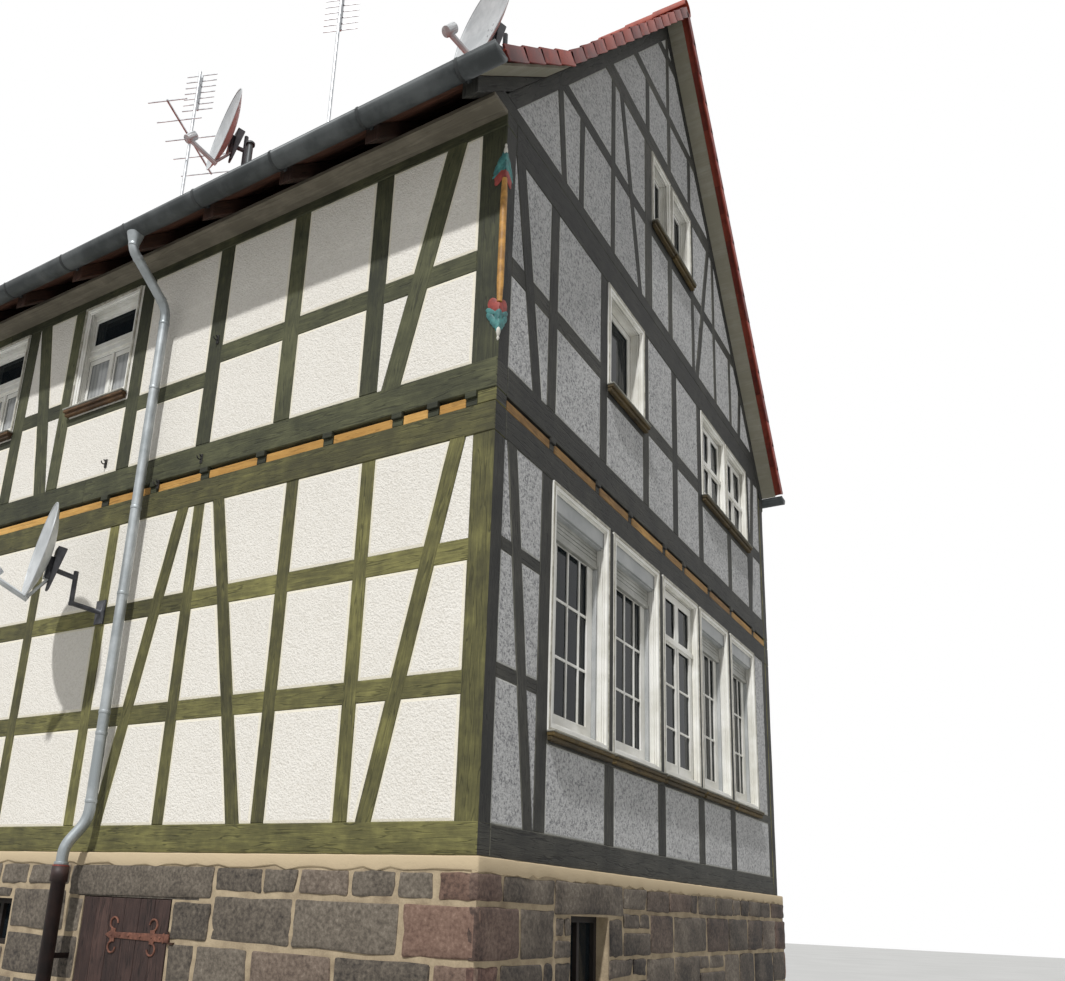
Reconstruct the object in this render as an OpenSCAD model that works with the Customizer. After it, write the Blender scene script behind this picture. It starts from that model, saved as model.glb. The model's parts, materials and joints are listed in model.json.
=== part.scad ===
/* [House] */
// Length of the long walls over the timber
house_l = 11100; // [10800:100:12600]
// Width of the gable walls over the timber
house_w = 7150; // [7050:50:7600]
// Thickness of the timber walls
wall_t = 160; // [140:10:180]
// How far the infill stays back from the timber face
infill_back = 8; // [4:1:20]
// Thickness of the infill
infill_t = 130; // [100:5:140]

/* [Plinth] */
// Height of the stone plinth above the ground
plinth_h = 2000; // [1900:50:2300]
// Thickness of the plinth walls
plinth_t = 500; // [400:10:600]
// How far the plinth stands proud of the timber
plinth_proud = 40; // [20:5:60]
// Thickness of the flagged cellar floor
cellar_floor_t = 100; // [80:10:150]

/* [Storeys] */
// Height of the ground sill
sill_h = 215; // [180:5:240]
// Clear height of the ground storey frame from sill to rail
ground_clear = 2717; // [2500:10:2900]
// Height of the broad rail at the head of the ground storey
rail_h = 235; // [200:5:260]
// Height of the band where the beam heads show
band_h = 108; // [90:2:130]
// Height of the upper sill
upper_sill_h = 245; // [220:5:270]
// Clear height of the upper storey frame on the front
upper_clear = 2040; // [2000:10:2200]
// Height of the top plate on the long walls
plate_h = 134; // [120:2:160]
// Height of the tie beam across the gable
tie_h = 290; // [260:5:320]
// Height of the sill above the tie beam
attic_sill_h = 138; // [120:2:160]
// Clear height of the lower attic frame
attic_clear = 2023; // [1950:10:2100]
// Height of the collar beam
collar_h = 218; // [180:2:240]
// Clear height of the upper attic frame
loft_clear = 656; // [600:5:700]
// Height of the highest rail in the gable
top_rail_h = 138; // [100:2:160]

/* [Timber] */
// Width of the corner posts
corner_post_w = 180; // [160:5:220]
// Width of the ordinary posts
post_w = 130; // [100:5:160]
// Width of the slender gable posts
stud_w = 100; // [80:5:120]
// Width of the braces
brace_w = 135; // [110:5:160]
// Height of the mid rails
mid_rail_h = 165; // [130:5:190]
// Width of the beam heads in the band
head_w = 95; // [80:5:120]
// How far the beam heads stand out of the wall
head_out = 15; // [8:1:30]

/* [Roof] */
// Pitch of the front slope in degrees
front_pitch = 50; // [48:0.5:52]
// Pitch of the back slope in degrees
back_pitch = 53.4; // [52:0.2:55]
// How far the ridge lies behind the middle of the house
ridge_back = 45; // [0:5:80]
// Pitch of the flatter front eaves in degrees
sprocket_pitch = 42.5; // [40:0.5:45]
// How far in from the wall face the eaves start to flatten
kink_in = 600; // [500:20:700]
// Height of the rafter line above the wall top at the front
heel_h = 170; // [150:5:190]
// Depth of the rafters square to the slope
rafter_d = 130; // [110:5:150]
// Width of the rafters
rafter_w = 140; // [120:5:160]
// Number of rafter pairs
rafter_n = 13; // [11:1:15]
// Thickness of battens and tiles together
roof_t = 115; // [100:5:130]
// How far the tiles reach past the gable
verge_out = 265; // [220:5:300]
// Width of the boards under the verge
verge_board_w = 178; // [140:2:200]
// Thickness of the boards under the verge
verge_board_t = 20; // [15:1:25]
// Reach of the front rafter tails past the wall
tail_out = 440; // [400:10:480]
// Reach of the back rafter tails past the wall
back_tail_out = 40; // [30:5:60]
// Radius of the ridge tiles
ridge_r = 125; // [110:5:140]

/* [Rainwater] */
// Radius of the half round gutter
gutter_r = 90; // [75:1:96]
// Thickness of the gutter sheet as modelled
gutter_wall = 4; // [3:1:6]
// Outside radius of the downpipe
pipe_r = 45; // [38:1:50]
// Distance of the downpipe from the right corner
pipe_u = 3640; // [3600:10:3680]
// Clear distance between downpipe and timber
pipe_gap = 60; // [50:5:70]
// Outside radius of the cast standpipe
stand_r = 55; // [52:1:60]

/* [Cellar door] */
// Distance of the doorway from the right corner
door_u = 2610; // [2590:10:2640]
// Width of the doorway
doorway_w = 1020; // [960:10:1060]
// Height of the doorway
doorway_h = 1660; // [1500:10:1700]
// Thickness of the door leaf
leaf_t = 45; // [38:1:55]
// Height of the stonework between the lintel and the timber
over_door_h = 100; // [60:10:120]
// How far the lintel bears on the wall at the hinge side
lintel_bearing = 280; // [200:10:300]
// How far the lintel bears on the wall at the lock side
lintel_short_bearing = 80; // [60:10:120]
// Width of the door frame posts
frame_w = 60; // [50:2:70]
// Gap around the door leaf
leaf_gap = 6; // [5:1:8]

/* [Windows] */
// Face width of the white casings
casing_w = 55; // [45:5:70]
// Width of the sash members
sash_w = 52; // [40:2:60]
// Depth of the sash members
sash_t = 42; // [36:2:42]
// How far the plain sashes lie back from the wall face
sash_back = 95; // [70:5:100]
// How far the sashes behind the roller shutters lie back
deep_sash_back = 118; // [106:2:118]
// How far the sashes with a crossbar lie back in the gable
shallow_sash_back = 50; // [40:5:70]
// Thickness of the glass
glass_t = 6; // [4:1:10]
// Projection of the window sills
sill_out = 70; // [50:5:90]
// Height of the window sills
window_sill_h = 62; // [50:2:80]
// Height of the roller shutter boxes
shutter_box_h = 210; // [180:5:240]
// Visible length of the lowered shutters
shutter_drop = 130; // [100:10:300]

/* [Hidden] */

olive = "darkolivegreen";
anthracite = "dimgray";
plaster = "whitesmoke";
stone = "slategray";
tile_red = "firebrick";
zinc = "darkgray";
white = "white";

half_l = house_l / 2;
half_w = house_w / 2;
front_k = house_l / 11100; // spreads the bays with the length
gable_k = house_w / 7150; // spreads the gable's bays with the width
function spread(places, k) = [for (u = places) u * k];
function spread_windows(windows, k) = [for (w = windows) w * k];
lay = 0.5; // room left where a slanting face bears on another piece
ridge_from_front = half_w + ridge_back;
lintel_h = plinth_h - doorway_h - over_door_h;

z_sill = plinth_h;
z_ground = z_sill + sill_h;
z_rail = z_ground + ground_clear;
z_band = z_rail + rail_h;
z_upper_sill = z_band + band_h;
z_upper = z_upper_sill + upper_sill_h;
z_plate = z_upper + upper_clear;
z_top = z_plate + plate_h;
z_tie = z_top - tie_h;
z_attic = z_top + attic_sill_h;
z_collar = z_attic + attic_clear;
z_loft = z_collar + collar_h;
z_top_rail = z_loft + loft_clear;
z_peak = z_top_rail + top_rail_h;

// Roof lines: v runs from the front wall face towards the back
z_heel = z_top + heel_h;
z_apex = z_heel + ridge_from_front * tan(front_pitch);
z_kink = z_heel + kink_in * tan(front_pitch);
function front_line(v) = z_heel + v * tan(front_pitch);
function back_line(v) = z_apex - (v - ridge_from_front) * tan(back_pitch);
function sprocket_line(v) = z_kink - (kink_in - v) * tan(sprocket_pitch);
front_drop = rafter_d / cos(front_pitch);
back_drop = rafter_d / cos(back_pitch);
sprocket_drop = 110 / cos(sprocket_pitch);
seat = 60; // length of the back rafters' level seat on their plate
z_back_top = back_line(house_w - seat) - back_drop;
nose_v = (z_top - sprocket_line(0) + sprocket_drop + lay) / tan(sprocket_pitch);
nose_top_v = (z_attic - sprocket_line(0) + sprocket_drop + lay) / tan(sprocket_pitch);
under_v = (sprocket_line(0) - sprocket_drop - z_heel) / (tan(front_pitch) - tan(sprocket_pitch));

// Distances along the long wall, from the right corner, of the left half mirrored to the right
front_ground_posts = spread([1115, 1885, 2950, 4050, 5100], front_k);
front_upper_posts = spread([1180, 2090, 3015, 4090, 5155], front_k);
front_beams = concat([207], spread([540, 867, 1547, 2266, 2933, 3577, 4255, 5000], front_k));
all_beams = concat(front_beams, [for (i = [len(front_beams) - 1:-1:0]) house_l - front_beams[i]]);
rail_lo = z_ground + 825;
rail_hi = z_ground + 1765;
upper_rail = z_upper + 820;
low_upper_rail = z_upper + 585;
front_window = [4198 * front_k, z_upper + 850, 874 * front_k];
gable_stubs = spread([880, 1740, 2460, 3335, 3900, 4727, 5543, 6463], gable_k);

gable_ground_windows =
  spread_windows([[910, 1080], [2070, 1105], [3265, 1048], [4370, 1000], [5460, 992]], gable_k);
gable_upper_windows = spread_windows([[1932, 886], [4566, 900], [5497, 863]], gable_k);
attic_windows = spread_windows([[3070, 575], [3680, 644]], gable_k);
ground_window_z = z_ground + 740;
upper_window_z = z_upper + 810;
attic_window_z = z_attic + 1103;

cellar_front_window = [4570 * front_k, plinth_h - 770, 560, 380];
cellar_gable_window = [1265 * gable_k, plinth_h - 920, 655, 585];

module front_place() translate([half_l, -half_w, 0]) mirror([1, 0, 0]) children();
module gable_place() translate([half_l, -half_w, 0]) rotate([0, 0, 90]) children();
module back_place() mirror([0, 1, 0]) front_place() children();
module far_place() mirror([1, 0, 0]) gable_place() children();
module upright(back, t) translate([0, back + t, 0]) rotate([90, 0, 0]) linear_extrude(t) children();
module across_roof(x0, x1) translate([x0, -half_w, 0]) rotate([90, 0, 90])
  linear_extrude(x1 - x0) children();

module post(u, z0, z1, w) translate([u - w / 2, z0]) square([w, z1 - z0]);
module rail(u0, u1, z, h) translate([u0, z]) square([u1 - u0, h]);
module brace(u_head, u_foot, z0, z1, w) polygon([
  [u_foot - w / 2, z0], [u_foot + w / 2, z0], [u_head + w / 2, z1], [u_head - w / 2, z1]
]);
module both_halves() {
  children();
  translate([house_l, 0]) mirror([1, 0]) children();
}

module long_ground_timbers() {
  rail(0, house_l, z_sill, sill_h);
  rail(0, house_l, z_rail, rail_h);
  both_halves() {
    rail(0, front_beams[0] - head_w / 2, z_band, band_h);
    rail(0, corner_post_w, z_sill, z_rail - z_sill);
    for (u = front_ground_posts) post(u, z_ground, z_rail, post_w);
    rail(corner_post_w, front_ground_posts[4], rail_lo, mid_rail_h);
    rail(corner_post_w, front_ground_posts[4], rail_hi, mid_rail_h);
    for (b = [[305, 914], [2722, 2130], [3150, 3700]])
      brace(b[0] * front_k, b[1] * front_k, z_ground, z_rail, brace_w);
  }
  rail(front_ground_posts[4], house_l - front_ground_posts[4], rail_lo, mid_rail_h);
  rail(front_ground_posts[4], house_l - front_ground_posts[4], rail_hi, mid_rail_h);
}

module long_upper_timbers(z_head, head_h) {
  rail(0, house_l, z_upper_sill, upper_sill_h);
  rail(0, house_l, z_head, head_h);
  both_halves() {
    rail(0, 225, z_upper_sill, z_head - z_upper_sill);
    for (u = front_upper_posts) post(u, z_upper, z_head, post_w + 50);
    rail(225, front_upper_posts[2], upper_rail - 28, mid_rail_h + 20);
    rail(front_upper_posts[2], front_upper_posts[3], low_upper_rail, mid_rail_h);
    rail(front_upper_posts[3], front_upper_posts[4], front_window[1] - 175, 90);
    brace(460 * front_k, 960 * front_k, z_upper, z_head, brace_w + 50);
  }
  rail(front_upper_posts[4], house_l - front_upper_posts[4], upper_rail, mid_rail_h);
  brace(house_l / 2 + 210, house_l / 2 - 210, z_upper, z_head, brace_w + 50);
}

module long_window_holes(z_head) both_halves()
  rail(front_window[0], front_window[0] + front_window[2], front_window[1], z_head - front_window[1]);

module front_frame_ground() color(olive) front_place() upright(0, wall_t) long_ground_timbers();
module front_frame_upper() color(olive) front_place() upright(0, wall_t) difference() {
  long_upper_timbers(z_plate, plate_h);
  long_window_holes(z_plate);
}
module long_infill(z_head, head_h) upright(infill_back, infill_t) difference() {
  union() {
    rail(corner_post_w, house_l - corner_post_w, z_ground, ground_clear);
    rail(corner_post_w, house_l - corner_post_w, z_upper, z_head - z_upper);
  }
  long_ground_timbers();
  long_upper_timbers(z_head, head_h);
  long_window_holes(z_head);
}
module front_infill() color(plaster) front_place() long_infill(z_plate, plate_h);
module back_frame() color(olive) {
  back_place() upright(0, wall_t) {
    long_ground_timbers();
    difference() {
      long_upper_timbers(z_back_top - plate_h, plate_h);
      long_window_holes(z_back_top - plate_h);
    }
  }
  for (side = [0, 1]) mirror([side, 0, 0]) across_roof(half_l - wall_t, half_l) polygon([
    [far_u, z_back_top], [house_w - seat, z_back_top], [far_u, back_line(far_u) - back_drop - lay]
  ]);
}
module back_infill() color(plaster) back_place() long_infill(z_back_top - plate_h, plate_h);

// The gable stands between the long walls, so u runs from wall_t to far_u
far_u = house_w - wall_t;
far_stud_u = far_u - 125;
module gable_ground_timbers() {
  rail(wall_t, far_u, z_sill, sill_h);
  rail(wall_t, far_u, z_rail, rail_h);
  post(gable_ground_windows[0][0] - 85, z_ground, z_rail, 170);
  brace(265, 665, z_ground, z_rail, 140);
  for (z = [965, 1875]) rail(wall_t, gable_ground_windows[0][0] - 85, z_ground + z, 105);
  for (i = [1:4]) {
    left = gable_ground_windows[i - 1][0] + gable_ground_windows[i - 1][1];
    right = gable_ground_windows[i][0];
    rail(left, right, z_ground, z_rail - z_ground);
    post((left + right) / 2, z_ground, ground_window_z, 190);
  }
  rail(gable_ground_windows[0][0], far_u, ground_window_z - 100, 100);
  rail(far_stud_u, far_u, z_ground, ground_clear);
}
module gable_ground_holes() for (w = gable_ground_windows)
  rail(w[0], w[0] + w[1], ground_window_z, z_rail - ground_window_z);
gable_upper_rail = z_upper + 780;
module gable_upper_timbers() {
  rail(wall_t, far_u, z_upper_sill, upper_sill_h);
  rail(wall_t, far_u, z_tie, tie_h);
  brace(240 * gable_k, 620 * gable_k, z_upper, z_tie, 150);
  for (u = [855, 1857, 2870, 3695, 4510, 5577]) post(u * gable_k, z_upper, z_tie, 150);
  rail(gable_upper_windows[2][0] + gable_upper_windows[2][1], 6500 * gable_k, z_upper, z_tie - z_upper);
  brace(6700 * gable_k, 6440 * gable_k, z_upper, z_tie, 130);
  rail(wall_t, 1857 * gable_k, gable_upper_rail, 170);
  rail(2870 * gable_k, 4510 * gable_k, gable_upper_rail, 170);
  rail(6500 * gable_k, far_u, gable_upper_rail, 170);
  rail(far_u - 55, far_u, z_upper, z_tie - z_upper);
  rail(1857 * gable_k, 2870 * gable_k, upper_window_z - 130, 130);
  rail(4510 * gable_k, 6400 * gable_k, upper_window_z - 130, 130);
}
module gable_upper_holes() for (w = gable_upper_windows)
  rail(w[0], w[0] + w[1], upper_window_z, z_tie - upper_window_z);
attic_rail = z_attic + 918;
module attic_timbers() {
  rail(0, house_w, z_collar, collar_h);
  rail(0, house_w, z_top_rail, top_rail_h);
  rail(0, house_w, attic_rail, 150);
  for (u = [2040, 4374, 5175]) post(u * gable_k, z_attic, z_collar, stud_w);
  post(2972 * gable_k, z_attic, z_collar, (2 * stud_w - 4) * gable_k);
  post(3662 * gable_k, z_attic, z_collar, 36 * gable_k);
  post(3600 * gable_k, z_attic, attic_window_z, stud_w);
  for (b = [[2250, 2740], [5000, 4490]]) brace(b[0] * gable_k, b[1] * gable_k, z_attic, z_collar, 110);
  for (u = [1340, 5800]) post(u * gable_k, z_attic, attic_rail, stud_w);
  for (b = [[880, 1000], [6280, 6150]]) brace(b[0] * gable_k, b[1] * gable_k, z_attic, attic_rail, 110);
  for (u = [2970, 3640, 4330]) post(u * gable_k, z_loft, z_top_rail, 110);
  post(ridge_from_front, z_peak, z_apex, stud_w);
  rail(0, house_w, z_apex - front_drop - 360, 130);
}
module attic_holes() for (w = attic_windows)
  rail(w[0], w[0] + w[1], attic_window_z, z_collar - attic_window_z);
// Everything in the gable that lies between the attic sill and the rafters
function under_front(z) = (z - z_heel + front_drop + lay) / tan(front_pitch);
function under_back(z) = ridge_from_front + (z_apex - back_drop - lay - z) / tan(back_pitch);
attic_end = min(under_back(z_attic), far_u);
module under_rafters() polygon([
  [under_front(z_attic), z_attic], [ridge_from_front, z_apex - front_drop - lay],
  [ridge_from_front, z_apex - back_drop - lay], [attic_end, z_attic]
]);
// A ceiling beam with its nose under the flatter eaves; the gable's sill is one too
module beam_profile() polygon([
  [nose_v, z_top], [nose_top_v, z_attic], [attic_end, z_attic], [min(under_back(z_top), far_u), z_top]
]);
tie_room = 3; // the tie beam's cut end stays this far under the back rafters
module below_back_slope() polygon([
  [0, 0], [house_w, 0], [house_w, back_line(house_w) - back_drop - tie_room],
  [ridge_from_front, z_apex - back_drop - tie_room], [0, z_apex - back_drop - tie_room]
]);

module gable_frame_ground() color(anthracite) gable_place() upright(0, wall_t)
  gable_ground_timbers();
module gable_upper_face() intersection() {
  difference() {
    gable_upper_timbers();
    gable_upper_holes();
  }
  below_back_slope();
}
module gable_attic_face() {
  beam_profile();
  intersection() {
    difference() {
      attic_timbers();
      attic_holes();
    }
    under_rafters();
  }
}
module gable_frame_upper() color(anthracite) gable_place() upright(0, wall_t) gable_upper_face();
module gable_frame_attic() color(anthracite) gable_place() upright(0, wall_t) gable_attic_face();
module gable_panels() upright(infill_back, infill_t) {
  difference() {
    rail(wall_t, far_u, z_ground, ground_clear);
    gable_ground_timbers();
    gable_ground_holes();
  }
  difference() {
    rail(wall_t, far_u, z_upper, z_tie - z_upper);
    gable_upper_timbers();
    gable_upper_holes();
  }
  difference() {
    under_rafters();
    attic_timbers();
    attic_holes();
  }
}
module gable_infill() color(plaster) gable_place() gable_panels();
module far_frame() color(anthracite) far_place() upright(0, wall_t) {
  gable_ground_timbers();
  gable_upper_face();
  gable_attic_face();
}
module far_infill() color(plaster) far_place() gable_panels();

// Plinth walls run down to the ground; the doorway splits the front one
module plinth_run(u0, u1) upright(-plinth_proud, plinth_t) rail(u0, u1, 0, plinth_h);
module lintel_block(play) upright(-plinth_proud - play, plinth_t + 2 * play)
  rail(door_u - lintel_bearing, door_u + doorway_w + lintel_short_bearing, doorway_h, lintel_h);
module plinth_front_right() color(stone) front_place() difference() {
  plinth_run(-plinth_proud, door_u);
  lintel_block(1);
}
module plinth_front_left() color(stone) front_place() difference() {
  plinth_run(door_u + doorway_w, house_l + plinth_proud);
  lintel_block(1);
  window_pocket(cellar_front_window);
}
module window_pocket(w) upright(-plinth_proud - 1, plinth_t + 2) rail(w[0], w[0] + w[2], w[1], w[3]);
module plinth_over_door() color(stone) front_place()
  upright(-plinth_proud, plinth_t)
    rail(door_u, door_u + doorway_w, doorway_h + lintel_h, over_door_h);
module door_lintel() color("gray") front_place() lintel_block(0);
module plinth_side() upright(-plinth_proud, plinth_t)
  rail(plinth_t - plinth_proud, house_w - plinth_t + plinth_proud, 0, plinth_h);
module plinth_gable() color(stone) gable_place() difference() {
  plinth_side();
  window_pocket(cellar_gable_window);
}
module plinth_far() color(stone) far_place() plinth_side();
module plinth_back() color(stone) back_place() plinth_run(-plinth_proud, house_l + plinth_proud);
module inner_slab(t_wall, z, t) translate([-half_l + t_wall, -half_w + t_wall, z])
  cube([house_l - 2 * t_wall, house_w - 2 * t_wall, t]);
module cellar_floor() color("gray") inner_slab(plinth_t - plinth_proud, 0, cellar_floor_t);
module ground_floor() color("tan") inner_slab(wall_t, z_sill, 180);
module upper_floor() color("tan") inner_slab(wall_t, z_upper_sill, 40);
attic_floor_t = 30;
module attic_floor() color("tan") across_roof(-half_l + wall_t, half_l - wall_t) polygon([
  [under_front(z_attic), z_attic], [under_front(z_attic + attic_floor_t), z_attic + attic_floor_t],
  [min(under_back(z_attic + attic_floor_t), far_u), z_attic + attic_floor_t], [attic_end, z_attic]
]);

module pocket_frame(w, back) upright(back, 60) difference() {
  rail(w[0], w[0] + w[2], w[1], w[3]);
  rail(w[0] + 45, w[0] + w[2] / 2 - 20, w[1] + 45, w[3] - 90);
  rail(w[0] + w[2] / 2 + 20, w[0] + w[2] - 45, w[1] + 45, w[3] - 90);
}
module cellar_windows() color("saddlebrown") {
  front_place() pocket_frame(cellar_front_window, 60);
  gable_place() pocket_frame(cellar_gable_window, 60);
}

// The door frame stands in the doorway, the leaf closes against it from outside
door_face = -plinth_proud;
leaf_proud = 3;
strap_t = 9;
frame_back = leaf_t - leaf_proud + 6;
leaf_w = doorway_w - 2 * leaf_gap - 8;
leaf_u = door_u + leaf_gap + 4;
leaf_z0 = 25;
leaf_h = doorway_h - leaf_z0 - leaf_gap;
hinge_u = door_u - 18;
hinge_y = door_face - 14;
strap_z = [330, 1380];
module cellar_door_frame() color("saddlebrown") front_place() {
  upright(door_face + frame_back, 80) difference() {
    rail(door_u, door_u + doorway_w, 0, doorway_h);
    rail(door_u + frame_w, door_u + doorway_w - frame_w, -1, doorway_h - frame_w + 1);
  }
  for (z = strap_z) translate([hinge_u, hinge_y, z - 40]) {
    cylinder(r = 7, h = 90, $fn = 24);
    translate([-60, -6, 0]) cube([60, 14, 14]);
    translate([-60, -6, 0]) cube([14, 20, 14]);
  }
}
module cellar_door() color("maroon") front_place()
  upright(door_face - leaf_proud, leaf_t) rail(leaf_u, leaf_u + leaf_w, leaf_z0, leaf_h);
module strap(z) difference() {
  union() {
    translate([hinge_u, hinge_y, z - 22]) cylinder(r = 13, h = 44, $fn = 32);
    translate([hinge_u, door_face - leaf_proud - strap_t, z - 22]) cube([leaf_w * 0.78, strap_t, 44]);
  }
  translate([hinge_u, hinge_y, z - 30]) cylinder(r = 7.5, h = 60, $fn = 32);
}
module door_straps() color("peru") front_place() for (z = strap_z) strap(z);

// Beams that carry the upper floor; their heads show between the boards of the band
stub_w = 120;
module floor_beams() color(olive) {
  front_place() for (u = all_beams) translate([u - head_w / 2, -head_out, z_band])
    cube([head_w, house_w + 2 * head_out, band_h]);
  for (side = [0, 1]) mirror([side, 0, 0]) gable_place() for (u = gable_stubs)
    translate([u - stub_w / 2, -head_out, z_band])
      cube([stub_w, head_out + front_beams[0] - head_w / 2, band_h]);
}
board_t = 30;
board_back = 35;
gable_board_ends = concat([wall_t - stub_w / 2], gable_stubs, [far_u + stub_w / 2]);
module fill_boards() color("goldenrod") {
  for (side = [0, 1]) mirror([0, side, 0]) front_place() for (i = [1:len(all_beams) - 1])
    translate([all_beams[i - 1] + head_w / 2, board_back, z_band])
      cube([all_beams[i] - all_beams[i - 1] - head_w, board_t, band_h]);
  for (side = [0, 1]) mirror([side, 0, 0]) gable_place() for (i = [1:len(gable_board_ends) - 1])
    translate([gable_board_ends[i - 1] + stub_w / 2, board_back, z_band])
      cube([gable_board_ends[i] - gable_board_ends[i - 1] - stub_w, board_t, band_h]);
}

rafter_pitch = (house_l - rafter_w) / (rafter_n - 1);
function rafter_x(i) = -half_l + i * rafter_pitch;
module ceiling_beams() color("saddlebrown")
  for (i = [1:rafter_n - 2]) across_roof(rafter_x(i), rafter_x(i) + rafter_w) beam_profile();
module front_rafter_profile() {
  polygon([
    [(z_attic - z_heel) / tan(front_pitch), z_attic], [ridge_from_front, z_apex],
    [ridge_from_front, z_apex - front_drop], [(z_attic - z_heel + front_drop) / tan(front_pitch), z_attic]
  ]);
  polygon([
    [-tail_out, sprocket_line(-tail_out) - sprocket_drop], [-tail_out, sprocket_line(-tail_out)],
    [kink_in, z_kink], [under_v, front_line(under_v)]
  ]);
}
module back_rafter_profile() polygon([
  [ridge_from_front, z_apex], [house_w + back_tail_out, back_line(house_w + back_tail_out)],
  [house_w + back_tail_out, back_line(house_w + back_tail_out) - back_drop],
  [house_w, back_line(house_w) - back_drop], [house_w, z_back_top], [house_w - seat, z_back_top],
  [ridge_from_front, z_apex - back_drop]
]);
module rafters_front() color("saddlebrown") for (i = [0:rafter_n - 1])
  across_roof(rafter_x(i), rafter_x(i) + rafter_w) front_rafter_profile();
module rafters_back() color("saddlebrown") for (i = [0:rafter_n - 1])
  across_roof(rafter_x(i), rafter_x(i) + rafter_w) back_rafter_profile();

// The covering follows the rafter line, roof_t thick square to each slope
eave_v = -tail_out - 10;
back_eave_v = house_w + back_tail_out + 10;
bend = (front_pitch + sprocket_pitch) / 2;
rise = roof_t / cos((front_pitch - sprocket_pitch) / 2);
z_crown = z_apex + roof_t / cos(front_pitch);
module laid(x0, x1) across_roof(x0, x1) translate([0, lay]) children();
module front_cover(t, over = 0, under = 0) polygon([
  [eave_v - over, sprocket_line(eave_v - over) - under],
  [eave_v - over - t * sin(sprocket_pitch), sprocket_line(eave_v - over) + t * cos(sprocket_pitch)],
  [kink_in - rise * t / roof_t * sin(bend), z_kink + rise * t / roof_t * cos(bend)],
  [ridge_from_front, z_apex + t / cos(front_pitch)],
  [ridge_from_front, z_apex - under], [kink_in, z_kink - under]
]);
module back_cover(t, over = 0, under = 0) polygon([
  [ridge_from_front, z_apex - under], [ridge_from_front, z_apex + t / cos(front_pitch)],
  [ridge_from_front + t * (1 / cos(back_pitch) - 1 / cos(front_pitch)) / tan(back_pitch),
   z_apex + t / cos(front_pitch)],
  [back_eave_v + over + t * sin(back_pitch), back_line(back_eave_v + over) + t * cos(back_pitch)],
  [back_eave_v + over, back_line(back_eave_v + over) - under]
]);
// The boards under the verge, drawn a little larger when they are cut out of the covering
module under_verge(t, over, room = 0) for (side = [0, 1]) mirror([side, 0, 0])
  laid(half_l - room, half_l + verge_board_w + room) {
    front_cover(t, over, 4 * room);
    back_cover(t, over, 4 * room);
  }
module roof_front() color(tile_red) difference() {
  laid(-half_l - verge_out, half_l + verge_out) front_cover(roof_t);
  under_verge(verge_board_t + lay, 5, lay);
}
module roof_back() color(tile_red) difference() {
  laid(-half_l - verge_out, half_l + verge_out) back_cover(roof_t);
  under_verge(verge_board_t + lay, 5, lay);
}
module verge_boards() color("lightgray") under_verge(verge_board_t, 0);
ridge_sink = 62;
crown_w = roof_t * (1 / cos(back_pitch) - 1 / cos(front_pitch)) / tan(back_pitch);
module below_crown() translate([0, lay]) polygon([
  [ridge_from_front - 2 * ridge_r, z_crown - 2 * ridge_r * tan(front_pitch)],
  [ridge_from_front, z_crown], [ridge_from_front + crown_w, z_crown],
  [ridge_from_front + crown_w + 2 * ridge_r, z_crown - 2 * ridge_r * tan(back_pitch)]
]);
module ridge_tiles() color(tile_red) laid(-half_l - verge_out, half_l + verge_out) difference() {
  translate([ridge_from_front, z_crown - ridge_sink]) circle(r = ridge_r, $fn = 48);
  translate([ridge_from_front - ridge_r - 1, z_crown - ridge_sink - 2 * ridge_r])
    square([2 * ridge_r + 2, 2 * ridge_r - 15]);
  below_crown();
}
module eaves_board() color("wheat")
  translate([-half_l, -half_w + nose_v, z_top - 35]) cube([house_l, -nose_v - lay, 35]);

gutter_v = -tail_out - 23 - gutter_r;
gutter_z = sprocket_line(eave_v) + 4;
back_gutter_v = house_w + back_tail_out + 23 + gutter_r;
back_gutter_z = back_line(back_eave_v) + 4;
module gutter_run() rotate([90, 0, 90]) {
  linear_extrude(house_l + 2 * verge_out) difference() {
    circle(r = gutter_r, $fn = 64);
    circle(r = gutter_r - gutter_wall, $fn = 64);
    translate([-gutter_r - 1, 0]) square([2 * gutter_r + 2, gutter_r + 1]);
  }
  for (z = [0, house_l + 2 * verge_out - gutter_wall]) translate([0, 0, z]) linear_extrude(gutter_wall)
    difference() {
      circle(r = gutter_r, $fn = 64);
      translate([-gutter_r - 1, 0]) square([2 * gutter_r + 2, gutter_r + 1]);
    }
}
module gutters() color(zinc) {
  translate([-half_l - verge_out, gutter_v - half_w, gutter_z]) gutter_run();
  translate([-half_l - verge_out, back_gutter_v - half_w, back_gutter_z]) gutter_run();
  for (i = [0:rafter_n - 1]) {
    x = rafter_x(i) + rafter_w / 2 - 15;
    translate([x, -half_w - tail_out - 27, gutter_z - 32]) cube([30, 27, 25]);
    translate([x, half_w + back_tail_out, back_gutter_z - 32]) cube([30, 27, 25]);
  }
}

// Swan neck from the gutter outlet to the wall, straight down, then out over the plinth
pipe_v = -pipe_gap - pipe_r;
neck_high = gutter_z - gutter_r - 130;
neck_low = z_plate - 520;
foot_z = z_sill + 230;
stand_u = pipe_u + 80;
stand_v = pipe_v - 125;
stand_top = z_sill - 120;
clip_z = [z_ground + 730, z_rail - 760, z_upper + 650];
module link(a, b, r) {
  d = b - a;
  len = norm(d);
  translate(a) rotate([0, acos(d[2] / len), atan2(d[1], d[0])]) cylinder(r = r, h = len, $fn = 32);
}
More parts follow.
